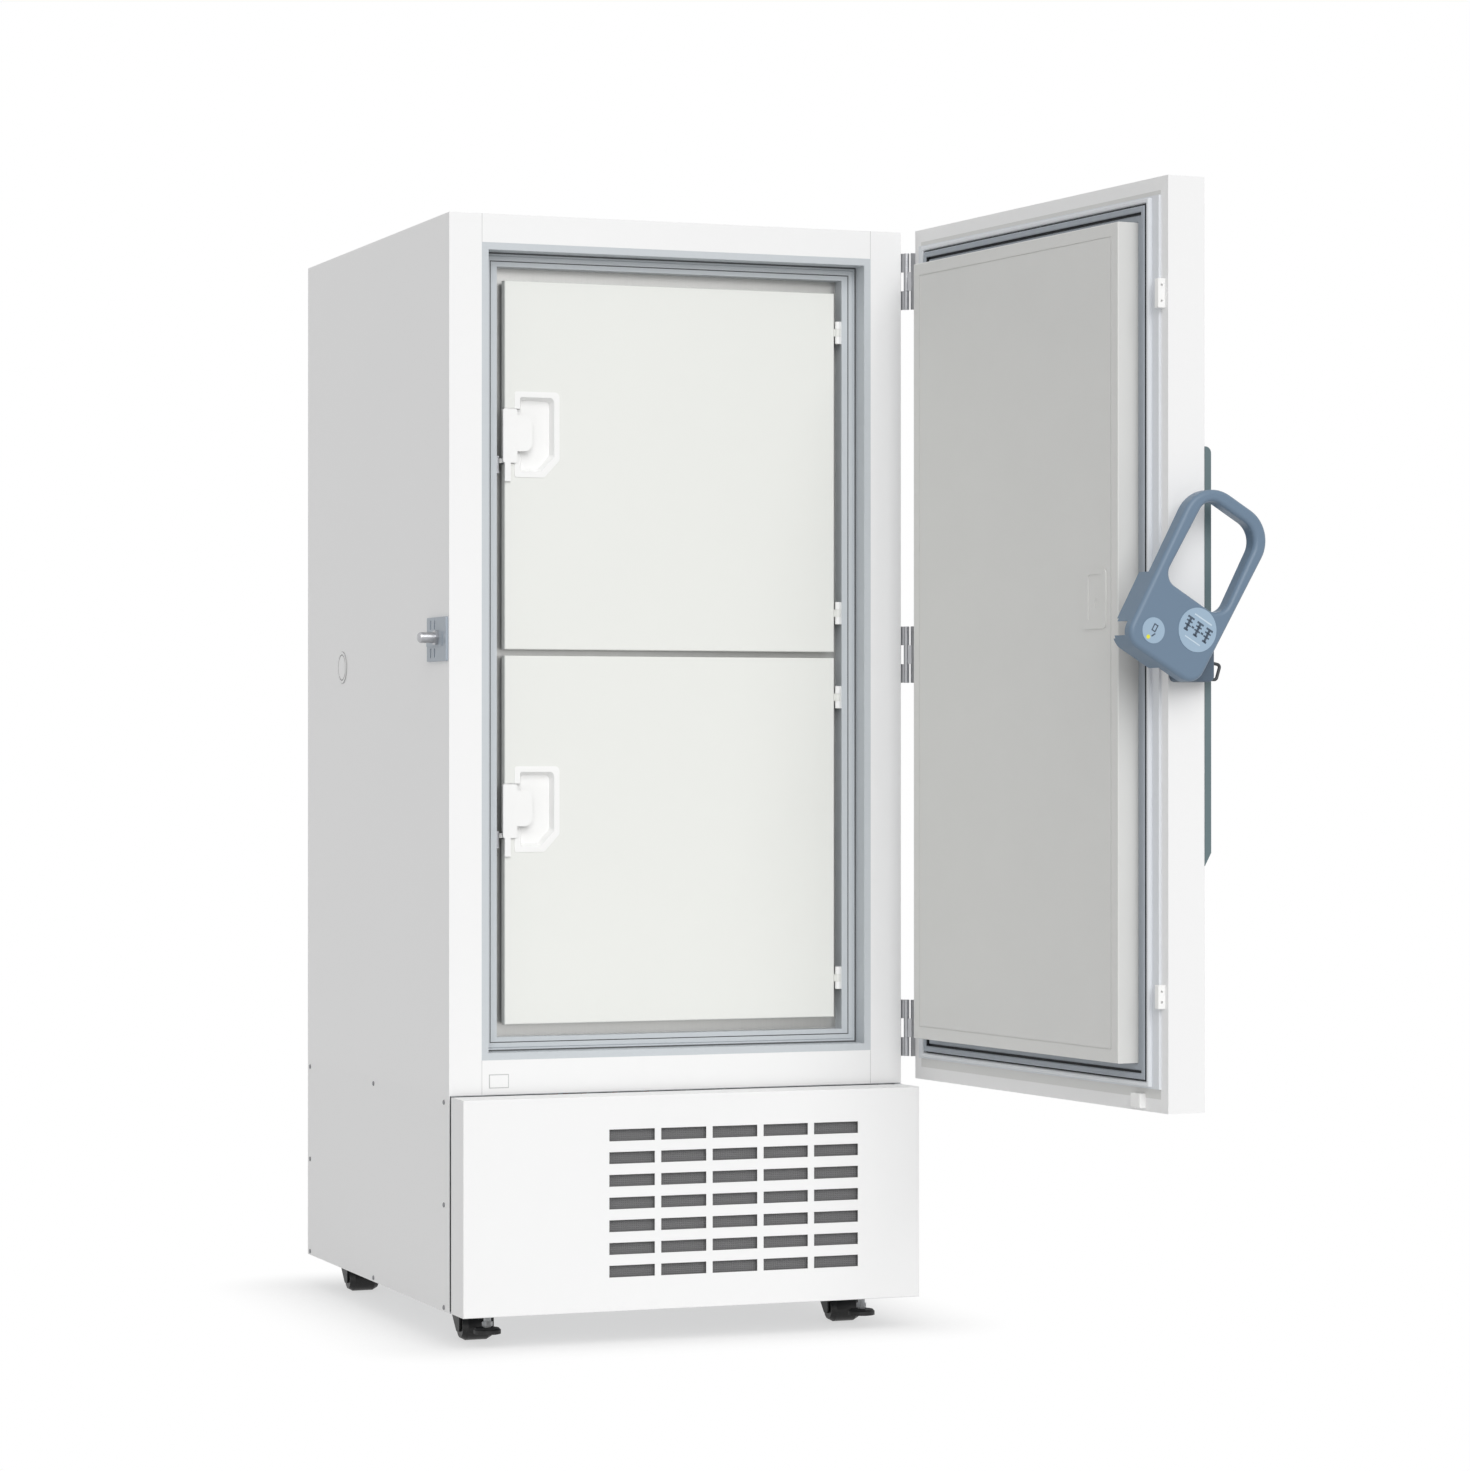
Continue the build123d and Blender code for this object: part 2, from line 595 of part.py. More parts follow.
def inner_door(which):
    """Foam filled inner door: folded pan in front, plug behind, two hinge leaves on its edge."""
    rect = inner_door_rect(which)
    low = rect[1]
    pan = slab(rect, RECESS_DEPTH, RECESS_DEPTH + INNER_PAN)
    front = pan.edges().filter_by_position(Axis.Y, RECESS_DEPTH - 0.1, RECESS_DEPTH + 0.1)
    door = fillet(front, INNER_CORNER)
    plug_half = CHAMBER[0] - INNER_PLUG_GAP
    mullion_side = MULLION_HALF - INNER_DOOR_SPLIT / 2 + INNER_PLUG_GAP
    outer_side = CHAMBER_INSET + INNER_PLUG_GAP
    bottom, top = (outer_side, mullion_side) if which == "lower" else (mullion_side, outer_side)
    plug = (plug_half, low + bottom, rect[2] - top)
    plug_back = FLANGE_DEPTH + INNER_PLUG
    door += slab(plug, RECESS_DEPTH + INNER_PAN, plug_back)
    door -= from_front(latch_face(low), RECESS_DEPTH - 1, RECESS_DEPTH + LATCH_SINK + 2.0)
    door -= latch_notch(low)
    return group(door, *[inner_door_leaf(z) for z in inner_hinge_lows(rect)])


def inner_hinge_lows(rect):
    """Lower ends of the two hinges of an inner door."""
    return (rect[1] + INNER_HINGE_INSET, rect[2] - INNER_HINGE_INSET - INNER_HINGE_HEIGHT)


def knuckle(axis, low, high, outer, inner):
    """Hinge knuckle with its bore."""
    centre = Pos(axis[0], axis[1], (low + high) / 2)
    return centre * (Cylinder(outer, high - low) - Cylinder(inner, high - low + 2))


def knuckle_span(low, height, third):
    """Low and high end of one of a hinge's three knuckles, apart by the knuckle gap."""
    length = height / 3
    start = low + third * length
    return (start + KNUCKLE_GAP / 2, start + length - KNUCKLE_GAP / 2)


def inner_door_leaf(low):
    """Leaf on the inner door's edge with the middle knuckle."""
    span = knuckle_span(low, INNER_HINGE_HEIGHT, 1)
    axis_x, axis_y = INNER_HINGE
    face = INNER_HALF
    leaf = block((face, face + INNER_LEAF), (axis_y, RECESS_DEPTH + INNER_PAN - 2.0), span)
    arm = block((face, axis_x), (axis_y - INNER_LEAF / 2, axis_y + INNER_LEAF / 2), span)
    barrel = knuckle(INNER_HINGE, *span, INNER_HINGE_RADIUS, HINGE_PIN + RUNNING_GAP)
    bore = Pos(axis_x, axis_y, sum(span) / 2) * Cylinder(INNER_HINGE_RADIUS - 1.0, span[1] - span[0])
    return leaf + (arm - bore) + barrel


def inner_frame_leaf(low):
    """Leaf on the throat wall with the outer knuckles and the pin."""
    wall = THROAT[0]
    axis_x, axis_y = INNER_HINGE
    pin = Pos(axis_x, axis_y, low + INNER_HINGE_HEIGHT / 2) * Cylinder(HINGE_PIN, INNER_HINGE_HEIGHT)
    piece = pin + block((wall - INNER_LEAF, wall), (axis_y, FLANGE_DEPTH - 4.0),
                        (low, low + INNER_HINGE_HEIGHT))
    for third in (0, 2):
        span = knuckle_span(low, INNER_HINGE_HEIGHT, third)
        centre = Pos(axis_x, axis_y, sum(span) / 2)
        piece += centre * Cylinder(INNER_HINGE_RADIUS, span[1] - span[0])
        piece += block((axis_x, wall), (axis_y, axis_y + INNER_LEAF), span)
    return piece


def inner_hinge_leaves():
    """The four leaves that carry the inner doors."""
    lows = [z for which in INNER_DOORS for z in inner_hinge_lows(inner_door_rect(which))]
    return group(*[inner_frame_leaf(z) for z in lows])


def inner_gasket(which):
    """Soft seal on the back of an inner door."""
    outer = inset(inner_door_rect(which), SEAL_INSET)
    seal = ring(outer, inset(outer, SEAL_WIDTH), RECESS_DEPTH + INNER_PAN, FLANGE_DEPTH - SEAL_CLEARANCE)
    groove = inset(outer, SEAL_WIDTH * 0.4)
    return seal - ring(groove, inset(groove, 4.0), FLANGE_DEPTH - 4.0, FLANGE_DEPTH + 1)


def latch_plate(which):
    """Moulded dish let into the inner door, with the pin that the lever turns on."""
    low = INNER_DOORS[which]
    back = RECESS_DEPTH + LATCH_SINK + 2.0
    plate = from_front(latch_face(low), RECESS_DEPTH - LATCH_PROUD, back)
    floor = Plane(origin=(0, RECESS_DEPTH + LATCH_SINK, 0), x_dir=(1, 0, 0), z_dir=(0, -1, 0))
    mouth = Plane(origin=(0, RECESS_DEPTH - LATCH_PROUD, 0), x_dir=(1, 0, 0), z_dir=(0, -1, 0))
    plate -= loft([floor * latch_face(low, LATCH_RIM + LATCH_DRAFT), mouth * latch_face(low, LATCH_RIM)])
    side = LATCH_INSET - INNER_HALF
    lever_low, lever_high = low + LEVER_LOW, low + LEVER_LOW + LEVER_HEIGHT
    plate -= block((side - 1, side + LATCH_RIM + LATCH_DRAFT), (0, RECESS_DEPTH + 6.0),
                   (lever_low - 1.0, lever_high + 1.0))
    ears = []
    for z0, z1 in ((lever_low - 2.0, lever_low - 0.4), (lever_high + 0.4, lever_high + 2.0)):
        ears.append(block((LATCH_AXIS[0] - 1.0, side), (LATCH_AXIS[1] - 3.0, LATCH_AXIS[1] + 3.0), (z0, z1)))
    pin = Pos(*LATCH_AXIS, (lever_low + lever_high) / 2) * Cylinder(LATCH_PIN, LEVER_HEIGHT + 4.0)
    for ear in ears:
        pin += ear
    return plate + pin


def latch_lever(which):
    """Lever with a finger tongue over the dish and a hook behind the striker pin."""
    low = INNER_DOORS[which] + LEVER_LOW
    high = low + LEVER_HEIGHT
    left = -INNER_HALF - LEVER_OVERHANG
    face = RECESS_DEPTH - LEVER_FACE
    back = face + LEVER_SHEET
    cover = from_front(flat(((left, low), (left + LEVER_WIDTH, low), (left + LEVER_WIDTH, high), (left, high)),
                            (3.0, 3.0, 3.0, 3.0)), face, back)
    start = left + LEVER_WIDTH
    tip = start + TONGUE_LENGTH
    bottom, top = low + TONGUE_LOW, low + TONGUE_LOW + TONGUE_HEIGHT
    tongue = from_front(flat(((start - 1, bottom), (tip, bottom), (tip, top), (start - 1, top)),
                             (0.1, 14.0, 4.0, 0.1)), face, back)
    hub = Pos(*LATCH_AXIS, (low + high) / 2) * Cylinder(LATCH_HUB, LEVER_HEIGHT)
    neck = block((LATCH_AXIS[0] - 2.5, LATCH_AXIS[0] + 2.5), (back - 0.5, LATCH_AXIS[1]), (low, high))
    lever = cover + tongue + hub + neck + latch_hook(INNER_DOORS[which])
    tab = block((left + 2.8, left + 12.9), (face, face + LEVER_TAB), (low - 30.0, low + 2.0))
    bore = Pos(*LATCH_AXIS, (low + high) / 2) * Cylinder(LATCH_PIN + RUNNING_GAP, LEVER_HEIGHT + 2)
    return lever + tab - bore


def latch_hook(low):
    """Hook that reaches behind the striker pin when the lever is pushed home."""
    x, y = LATCH_AXIS
    hook_front = RECESS_DEPTH + STRIKER_DEPTH + STRIKER_PIN + HOOK_SLACK
    points = ((x - 2.5, y), (x + 2.5, y), (x + 2.5, hook_front + HOOK_SHEET),
              (x - HOOK_REACH, hook_front + HOOK_SHEET), (x - HOOK_REACH, hook_front), (x - 2.5, hook_front))
    base = low + LEVER_LOW
    return from_below(flat(points), base, low + STRIKER_LOW + STRIKER_HEIGHT - 3.5)


def latch_striker(low):
    """Bracket on the throat wall that holds the striker pin between two ears."""
    wall = -THROAT[0]
    x, y = -INNER_HALF - STRIKER_OFFSET, RECESS_DEPTH + STRIKER_DEPTH
    z0, z1 = low + STRIKER_LOW, low + STRIKER_LOW + STRIKER_HEIGHT
    piece = Pos(x, y, (z0 + z1) / 2) * Cylinder(STRIKER_PIN, z1 - z0)
    for ear_low in (z0, z1 - 2.5):
        piece += block((wall, x), (y - STRIKER_PIN, y + STRIKER_PIN), (ear_low, ear_low + 2.5))
        piece += Pos(x, y, ear_low + 1.25) * Cylinder(STRIKER_PIN + 1.0, 2.5)
    return piece + block((wall, wall + 1.2), (y - 6.0, y + 10.0), (z0, z1))


def latch_strikers():
    """One striker for each inner door."""
    return group(*[latch_striker(low) for low in INNER_DOORS.values()])


def main_door_shell():
    """Painted pan of the main door with a flange folded in round its inner face."""
    shell = slab(DOOR, DOOR_OUTER, DOOR_INNER)
    front = shell.edges().filter_by_position(Axis.Y, DOOR_OUTER - 0.1, DOOR_OUTER + 0.1)
    shell = fillet(front, DOOR_EDGE_ROUND)
    shell -= slab(inset(DOOR, SKIN), DOOR_OUTER + SKIN, DOOR_INNER - SKIN)
    return shell - slab(inset(DOOR, DOOR_FLANGE), DOOR_INNER - SKIN - 1, DOOR_INNER + 1)


def main_door_foam():
    """Foam that fills the door shell and the liner's plug."""
    foam = slab(inset(DOOR, SKIN), DOOR_OUTER + SKIN, DOOR_INNER - SKIN)
    foam -= slab(inset(DOOR, DOOR_FLANGE), DOOR_INNER - DOOR_LINER_SHEET, DOOR_INNER)
    return foam + slab(inset(PLUG, DOOR_LINER_SHEET), DOOR_INNER - DOOR_LINER_SHEET,
                       PLUG_FACE - DOOR_LINER_SHEET)


def main_door_liner():
    """Moulded liner of the door with its raised plug and a fine line round the plug's face."""
    liner = slab(inset(DOOR, DOOR_FLANGE), DOOR_INNER - DOOR_LINER_SHEET, DOOR_INNER)
    plug = slab(PLUG, DOOR_INNER - DOOR_LINER_SHEET, PLUG_FACE)
    face_edges = plug.edges().filter_by_position(Axis.Y, PLUG_FACE - 0.1, PLUG_FACE + 0.1)
    liner += fillet(face_edges, 2.0)
    liner -= slab(inset(PLUG, DOOR_LINER_SHEET), DOOR_INNER - DOOR_LINER_SHEET - 1,
                  PLUG_FACE - DOOR_LINER_SHEET)
    line = inset(PLUG, PLUG_GROOVE_INSET)
    return liner - ring(line, inset(line, LINE_GROOVE), PLUG_FACE - 1.0, PLUG_FACE + 1)


def main_door_gasket():
    """Bellows seal round the plug: a flat skirt and three ribs."""
    skirt = (PLUG[0] + GASKET_SKIRT, PLUG[1] - GASKET_SKIRT_HEIGHT, PLUG[2] + GASKET_SKIRT_HEIGHT)
    base_top = DOOR_INNER + GASKET_SKIRT_RISE
    gasket = ring(skirt, PLUG, DOOR_INNER, base_top)
    for near, far, drop in GASKET_RIBS:
        face = -GASKET_TOUCH - drop
        rib = ring(inset(PLUG, -far), inset(PLUG, -near), base_top - 1.0, face)
        crest = rib.edges().filter_by_position(Axis.Y, face - 0.1, face + 0.1)
        gasket += chamfer(crest, 1.6)
    return gasket


def display_panel():
    """Display housing on the door's face at its free edge, with a sunk screen and three keys."""
    low, high = DISPLAY_SPAN
    face = DOOR_OUTER - DISPLAY_RISE
    cut_y, cut_z = DISPLAY_CHAMFER
    outline = flat(((DOOR_OUTER, low), (DOOR_OUTER, high), (face, high), (face, low + cut_z)))
    corner = outline.vertices().sort_by_distance((face, high, 0))[0]
    outline = fillet(corner, DISPLAY_ROUND)
    panel = from_side(outline, -HALF, DISPLAY_WIDTH - HALF)
    mid = DISPLAY_WIDTH / 2 - HALF
    top = high - SCREEN_DROP
    panel -= block((mid - SCREEN_SIZE[0] / 2, mid + SCREEN_SIZE[0] / 2), (face - 1, face + SCREEN_SINK),
                   (top - SCREEN_SIZE[1], top))
    for dx in (-38.0, 0.0, 38.0):
        key_z = top - SCREEN_SIZE[1] - 34.0
        panel += rod((mid + dx, face, key_z), (mid + dx, face - 1.0, key_z), KEY_RADIUS)
    return panel


def door_bumpers():
    """Two rubber stops on the door's flange and the small magnet block below the gasket."""
    left = DOOR_FLANGE - BUMPER_WIDTH - 1.0 - HALF
    pieces = []
    for low, high in BUMPER_SPANS:
        stop = block((left, left + BUMPER_WIDTH), (DOOR_INNER, DOOR_INNER + BUMPER_RISE), (low, high))
        top = stop.edges().filter_by_position(Axis.Y, DOOR_INNER + BUMPER_RISE - 0.1,
                                              DOOR_INNER + BUMPER_RISE + 0.1)
        stop = fillet(top, 1.5)
        for z in (low + 10.0, high - 10.0):
            stop -= rod((left - 1, DOOR_INNER + BUMPER_RISE / 2, z),
                        (left + 4.0, DOOR_INNER + BUMPER_RISE / 2, z), 2.0)
        pieces.append(stop)
    x, z = MAGNET_PLACE
    magnet = block((x - MAGNET_WIDTH / 2, x + MAGNET_WIDTH / 2), (DOOR_INNER, DOOR_INNER + MAGNET_RISE),
                   (z - MAGNET_HEIGHT / 2, z + MAGNET_HEIGHT / 2))
    top = magnet.edges().filter_by_position(Axis.Y, DOOR_INNER + MAGNET_RISE - 0.1,
                                            DOOR_INNER + MAGNET_RISE + 0.1)
    pieces.append(fillet(top, 2.0))
    return group(*pieces)


def pressure_port():
    """Cover of the pressure relief port on the plug, with a sunk window and a hole."""
    x, z = PORT_CENTRE
    cover = from_front(Pos(x, z) * RectangleRounded(*PORT_SIZE, 8.0), PLUG_FACE, PLUG_FACE + PORT_RISE)
    window = Pos(x, z + 2.5) * RectangleRounded(*PORT_WINDOW, 5.0)
    cover -= from_front(window, PLUG_FACE + PORT_RISE - 1.2, PLUG_FACE + PORT_RISE + 1)
    hole = Pos(*PORT_HOLE_PLACE) * Ellipse(*PORT_HOLE)
    return cover - from_front(hole, PLUG_FACE - 1, PLUG_FACE + PORT_RISE + 1)


def hinge_leaf(low, side, thirds, bore):
    """One leaf of a main hinge: plate on the side face, arm and knuckles. side is 1 for the cabinet."""
    x, y = HINGE
    start = side * LEAF_START
    plate_end = start + side * LEAF_LENGTH
    outer = HALF + LEAF_SHEET
    points = ((HALF, start), (HALF, plate_end), (outer, plate_end), (outer, start + side * 4.0),
              (x, y + side * HINGE_BARREL), (x, y), (x - HINGE_BARREL, y))
    plate = flat(((HALF, start), (HALF, plate_end), (outer, plate_end), (outer, start)))
    leaf = from_below(plate, low, low + HINGE_HEIGHT)
    for third in thirds:
        span = knuckle_span(low, HINGE_HEIGHT, third)
        leaf += from_below(flat(points), *span)
        leaf += Pos(x, y, sum(span) / 2) * Cylinder(HINGE_BARREL, span[1] - span[0])
        leaf -= Pos(x, y, sum(span) / 2) * Cylinder(bore, span[1] - span[0] + 2)
    return leaf


def cabinet_hinge_leaves():
    """Three cabinet leaves, each with its two knuckles and the hinge pin."""
    x, y = HINGE
    leaves = []
    for low in HINGE_LOWS:
        pin = Pos(x, y, low + HINGE_HEIGHT / 2) * Cylinder(HINGE_PIN, HINGE_HEIGHT)
        leaves.append(hinge_leaf(low, 1, (0, 2), HINGE_PIN - 0.5) + pin)
    return group(*leaves)


def door_hinge_leaves():
    """Three door leaves, each with the middle knuckle."""
    leaves = []
    for low in HINGE_LOWS:
        leaves.append(opened(hinge_leaf(low, -1, (1,), HINGE_PIN + RUNNING_GAP)))
    return group(*leaves)


def on_edge(face, s0, s1):
    """Extrudes a face drawn in Y and Z outwards from the door's free edge."""
    return from_side(face, -HALF - s1, -HALF - s0)


def handle_base():
    """Housing on the door's edge with the handle's pivot pin."""
    points = ((BASE_Y[0], BASE_Z[0]), (BASE_Y[1], BASE_Z[0]), (BASE_Y[1], BASE_Z[1]), (BASE_Y[0], BASE_Z[1]))
    body = on_edge(flat(points, (BASE_ROUND,) * 4), 0, BASE_FACE)
    face = body.edges().filter_by_position(Axis.X, -HALF - BASE_FACE - 0.1, -HALF - BASE_FACE + 0.1)
    body = fillet(face, 3.0)
    pin_end = HANDLE_FACE - HANDLE_WALL - 0.5
    return body + on_edge(Pos(*PIVOT) * Circle(PIVOT_PIN), BASE_FACE - 1, pin_end)


def padlock_loop():
    """Bent steel loop beside the handle base that takes a padlock."""
    root_y, low = BASE_Y[0], BASE_Z[0] + 4.0
    s = -HALF - BASE_FACE / 2
    tip = root_y - PADLOCK_REACH + LOOP_ROD
    path = FilletPolyline((s, root_y + 1.0, low + PADLOCK_HEIGHT), (s, tip, low + PADLOCK_HEIGHT - 4.0),
                          (s, tip + 7.0, low), (s, root_y, low), radius=4.5)
    loop = sweep(Plane(origin=path @ 0, z_dir=path % 0) * Circle(LOOP_ROD), path)
    return loop - block((s - 9.0, s + 9.0), (root_y, root_y + 9.0), (low - 9.0, low + PADLOCK_HEIGHT + 9.0))


def upright(face):
    """Puts a handle face drawn in u and v in its place on the door's edge."""
    return Pos(*PIVOT) * face


def handle_face(margin=0.0):
    """Handle outline, shrunk by a margin."""
    face = flat(HANDLE_OUTLINE, HANDLE_ROUNDS)
    if margin:
        return offset(face, -margin)
    return face


def skirt_face(margin=0.0):
    """Deep part of the handle that reaches past the door over the cabinet's side."""
    face = handle_face() & flat(SKIRT_OUTLINE)
    if margin:
        return offset(face, -margin, kind=Kind.INTERSECTION)
    return face


def tilted(shape):
    """Turns the upright handle to its rest angle and swings it open with the door."""
    about = Pos(0, *PIVOT) * Rot(REST_TILT, 0, 0) * Pos(0, -PIVOT[0], -PIVOT[1])
    return opened(about * shape)


def pin_track():
    """Angle and radius of the lock pin about the pivot, upright and at rest tilt."""
    u, v = LOCK_PIN_Y - PIVOT[0], LOCK_PIN_RISE
    radius = sqrt(u * u + v * v)
    locked = degrees(atan2(v, u))
    return radius, locked, locked - REST_TILT


def pin_channel(half_width):
    """Straight way by which the lock pin comes into the handle while it hangs at rest."""
    radius, locked, rest = pin_track()
    start = (radius * cos(radians(rest)), radius * sin(radians(rest)))
    way = Pos(PIN_WAY / 2, 0) * Rectangle(PIN_WAY, 2 * half_width)
    return Pos(*start) * (Rot(0, 0, -REST_TILT) * (way + Circle(half_width)))


def handle_lever():
    """Moulded lever: carrying loop, hollow body and the deep skirt round the lock pin."""
    lever = on_edge(upright(handle_face() - flat(LOOP_OUTLINE, LOOP_ROUNDS)), HANDLE_BACK, HANDLE_FACE)
    front = lever.edges().filter_by_position(Axis.X, -HALF - HANDLE_FACE - 0.1, -HALF - HANDLE_FACE + 0.1)
    lever = fillet(front, HANDLE_EDGE)
    floor = HANDLE_FACE - HANDLE_WALL
    below_loop = LOOP_OUTLINE[0][1] - HANDLE_WALL
    reach = HANDLE_OUTLINE[2][1]
    keep = flat(((-reach, -reach), (reach, -reach), (reach, below_loop), (-reach, below_loop)))
    body_hollow = handle_face(HANDLE_WALL) & keep
    lever += on_edge(upright(skirt_face()), SKIRT_BACK, HANDLE_BACK)
    lever -= on_edge(upright(body_hollow), HANDLE_BACK, floor)
    lever -= on_edge(upright(skirt_face(HANDLE_WALL)), SKIRT_BACK - 1, HANDLE_BACK + 1)
    lever += on_edge(upright(Circle(PIVOT_BOSS)), HANDLE_BACK, floor)
    lever -= on_edge(upright(Circle(PIVOT_PIN + RUNNING_GAP)), HANDLE_BACK - 1, floor)
    lever -= on_edge(upright(pin_channel(LOCK_PIN_RADIUS + CAM_SLACK)), SKIRT_BACK - 1, MOUTH_DEPTH)
    nut = pin_channel(LOCK_NUT_RADIUS + LOCK_NUT_SLACK)
    nut_top = BRACKET_SHEET + LOCK_NUT_HEIGHT + LOCK_NUT_SLACK
    lever -= on_edge(upright(nut), SKIRT_BACK - 1, nut_top)
    return tilted(lever)


def latch_cam():
    """Steel plate inside the skirt whose slot pulls the lock pin in as the handle comes upright."""
    radius, locked, rest = pin_track()
    half = LOCK_PIN_RADIUS + CAM_SLACK
    slot = pin_channel(half)
    arc = CenterArc((0, 0), radius, rest, locked - rest)
    slot += trace(arc, 2 * half)
    for end in (rest, locked):
        slot += Pos(radius * cos(radians(end)), radius * sin(radians(end))) * Circle(half)
    plate = skirt_face(HANDLE_WALL) - slot
    return tilted(on_edge(upright(plate), CAM_BACK, CAM_BACK + CAM_SHEET))


def lock_pin_bracket():
    """Slotted steel plate on the cabinet's side that carries the lock pin."""
    points = ((BRACKET_Y[0], BRACKET_Z[0]), (BRACKET_Y[1], BRACKET_Z[0]),
              (BRACKET_Y[1], BRACKET_Z[1]), (BRACKET_Y[0], BRACKET_Z[1]))
    face = flat(points, (2.0,) * 4)
    for y in BRACKET_SLOT_Y:
        for z in (BRACKET_Z[0] + 13.5, BRACKET_Z[1] - 12.0):
            face -= Pos(y, z) * Rot(0, 0, 90) * SlotOverall(BRACKET_SLOT[1], BRACKET_SLOT[0])
    plate = on_edge(face, 0, BRACKET_SHEET)
    rib = ((25.0, BRACKET_Z[0] + 24.0), (BRACKET_Y[1], BRACKET_Z[0] + 24.0),
           (BRACKET_Y[1], BRACKET_Z[1] - 23.0), (25.0, BRACKET_Z[1] - 23.0))
    return plate + on_edge(flat(rib, (3.0,) * 4), BRACKET_SHEET, BRACKET_SHEET + 1.0)


def lock_pin():
    """Domed pin with its nut, screwed into the bracket."""
    y, z = LOCK_PIN_Y, PIVOT[1] + LOCK_PIN_RISE
    foot = BRACKET_SHEET + 1.0
    r, dome = LOCK_PIN_RADIUS, 6.0
    shaft = on_edge(Pos(y, z) * Circle(r), foot, LOCK_PIN_LENGTH)
    tip = shaft.edges().filter_by_position(Axis.X, -HALF - LOCK_PIN_LENGTH - 0.1,
                                           -HALF - LOCK_PIN_LENGTH + 0.1)
    shaft = fillet(tip, dome)
    nut = on_edge(Pos(y, z) * RegularPolygon(LOCK_NUT_RADIUS, 6), foot, BRACKET_SHEET + LOCK_NUT_HEIGHT)
    return shaft + nut


def access_port():
    """Round cap over the access port on the left side."""
    y, z = ACCESS_CENTRE
    cap = on_edge(Pos(y, z) * Circle(ACCESS_RADIUS), 0, ACCESS_RISE)
    edge = cap.edges().filter_by_position(Axis.X, -HALF - ACCESS_RISE - 0.1, -HALF - ACCESS_RISE + 0.1)
    cap = chamfer(edge, 0.8)
    groove = Circle(ACCESS_RADIUS - 5.0) - Circle(ACCESS_RADIUS - 7.0)
    return cap - on_edge(Pos(y, z) * groove, ACCESS_RISE - 0.8, ACCESS_RISE + 1)


def service_panel():
    """Tray shaped front cover of the base with its grille of slots and two hinge holes."""
    rect = (HALF, FLOOR_GAP + PANEL_LIFT, SEAM - PANEL_DROP)
    back, front = -PANEL_GAP, -PANEL_GAP - PANEL_DEPTH
    panel = slab(rect, front, back)
    edges = panel.edges().filter_by_position(Axis.Y, front - 0.1, front + 0.1)
    panel = fillet(edges, DOOR_EDGE_ROUND)
    panel -= slab(inset(rect, SKIN), front + SKIN, back + 1)
    for column in range(SLOT_COLUMNS):
        for row in range(SLOT_ROWS):
            x = GRILLE_LEFT + SLOT_SIZE[0] / 2 + column * SLOT_PITCH[0]
            z = GRILLE_TOP - SLOT_SIZE[1] / 2 - row * SLOT_PITCH[1]
            panel -= Pos(x, front + SKIN / 2, z) * Box(SLOT_SIZE[0], 4 * SKIN, SLOT_SIZE[1])
    x, y = panel_axis()
    panel -= Pos(x, y, sum(rect[1:]) / 2) * Cylinder(PANEL_PIN + RUNNING_GAP, rect[2] - rect[1] + 2)
    for low in lug_lows():
        panel -= block((HALF - 2 * SKIN, HALF + 1), (back - LUG_NOTCH, back + 1),
                       (low - KNUCKLE_GAP, low + LUG_HEIGHT + 2.0))
    return panel


def panel_axis():
    """Place of the service panel's hinge line."""
    return (HALF - PANEL_PIVOT[0], -PANEL_GAP - PANEL_PIVOT[1])


def lug_lows():
    """Undersides of the two lugs that carry the service panel."""
    low, high = FLOOR_GAP + PANEL_LIFT + SKIN, SEAM - PANEL_DROP - SKIN
    return (low + KNUCKLE_GAP, high - KNUCKLE_GAP - LUG_HEIGHT)


def panel_lug(low, pin_shift):
    """Lug on the chassis with the pin that goes into the service panel's edge."""
    x, y = panel_axis()
    mid = low + LUG_HEIGHT / 2
    lug = block((x - LUG_HALF, x + LUG_HALF), (y, LUG_FOOT), (low, low + LUG_HEIGHT))
    lug += Pos(x, y, mid) * Cylinder(LUG_HALF, LUG_HEIGHT)
    return lug + Pos(x, y, mid - pin_shift) * Cylinder(PANEL_PIN, LUG_HEIGHT)


def condenser_filter():
    """Framed filter held behind the grille."""
    left = GRILLE_LEFT - FILTER_MARGIN
    right = GRILLE_LEFT + (SLOT_COLUMNS - 1) * SLOT_PITCH[0] + SLOT_SIZE[0] + FILTER_MARGIN
    high = GRILLE_TOP + FILTER_MARGIN
    low = GRILLE_TOP - (SLOT_ROWS - 1) * SLOT_PITCH[1] - SLOT_SIZE[1] - FILTER_MARGIN
    front = -PANEL_GAP - PANEL_DEPTH + SKIN
    pad = block((left, right), (front + FILTER_GAP, front + FILTER_GAP + FILTER_THICKNESS), (low, high))
    rim = block((left, right), (front, front + FILTER_GAP), (low, high))
    rim -= block((left + 6.0, right - 6.0), (front - 1, front + FILTER_GAP + 1), (low + 6.0, high - 6.0))
    return pad + rim


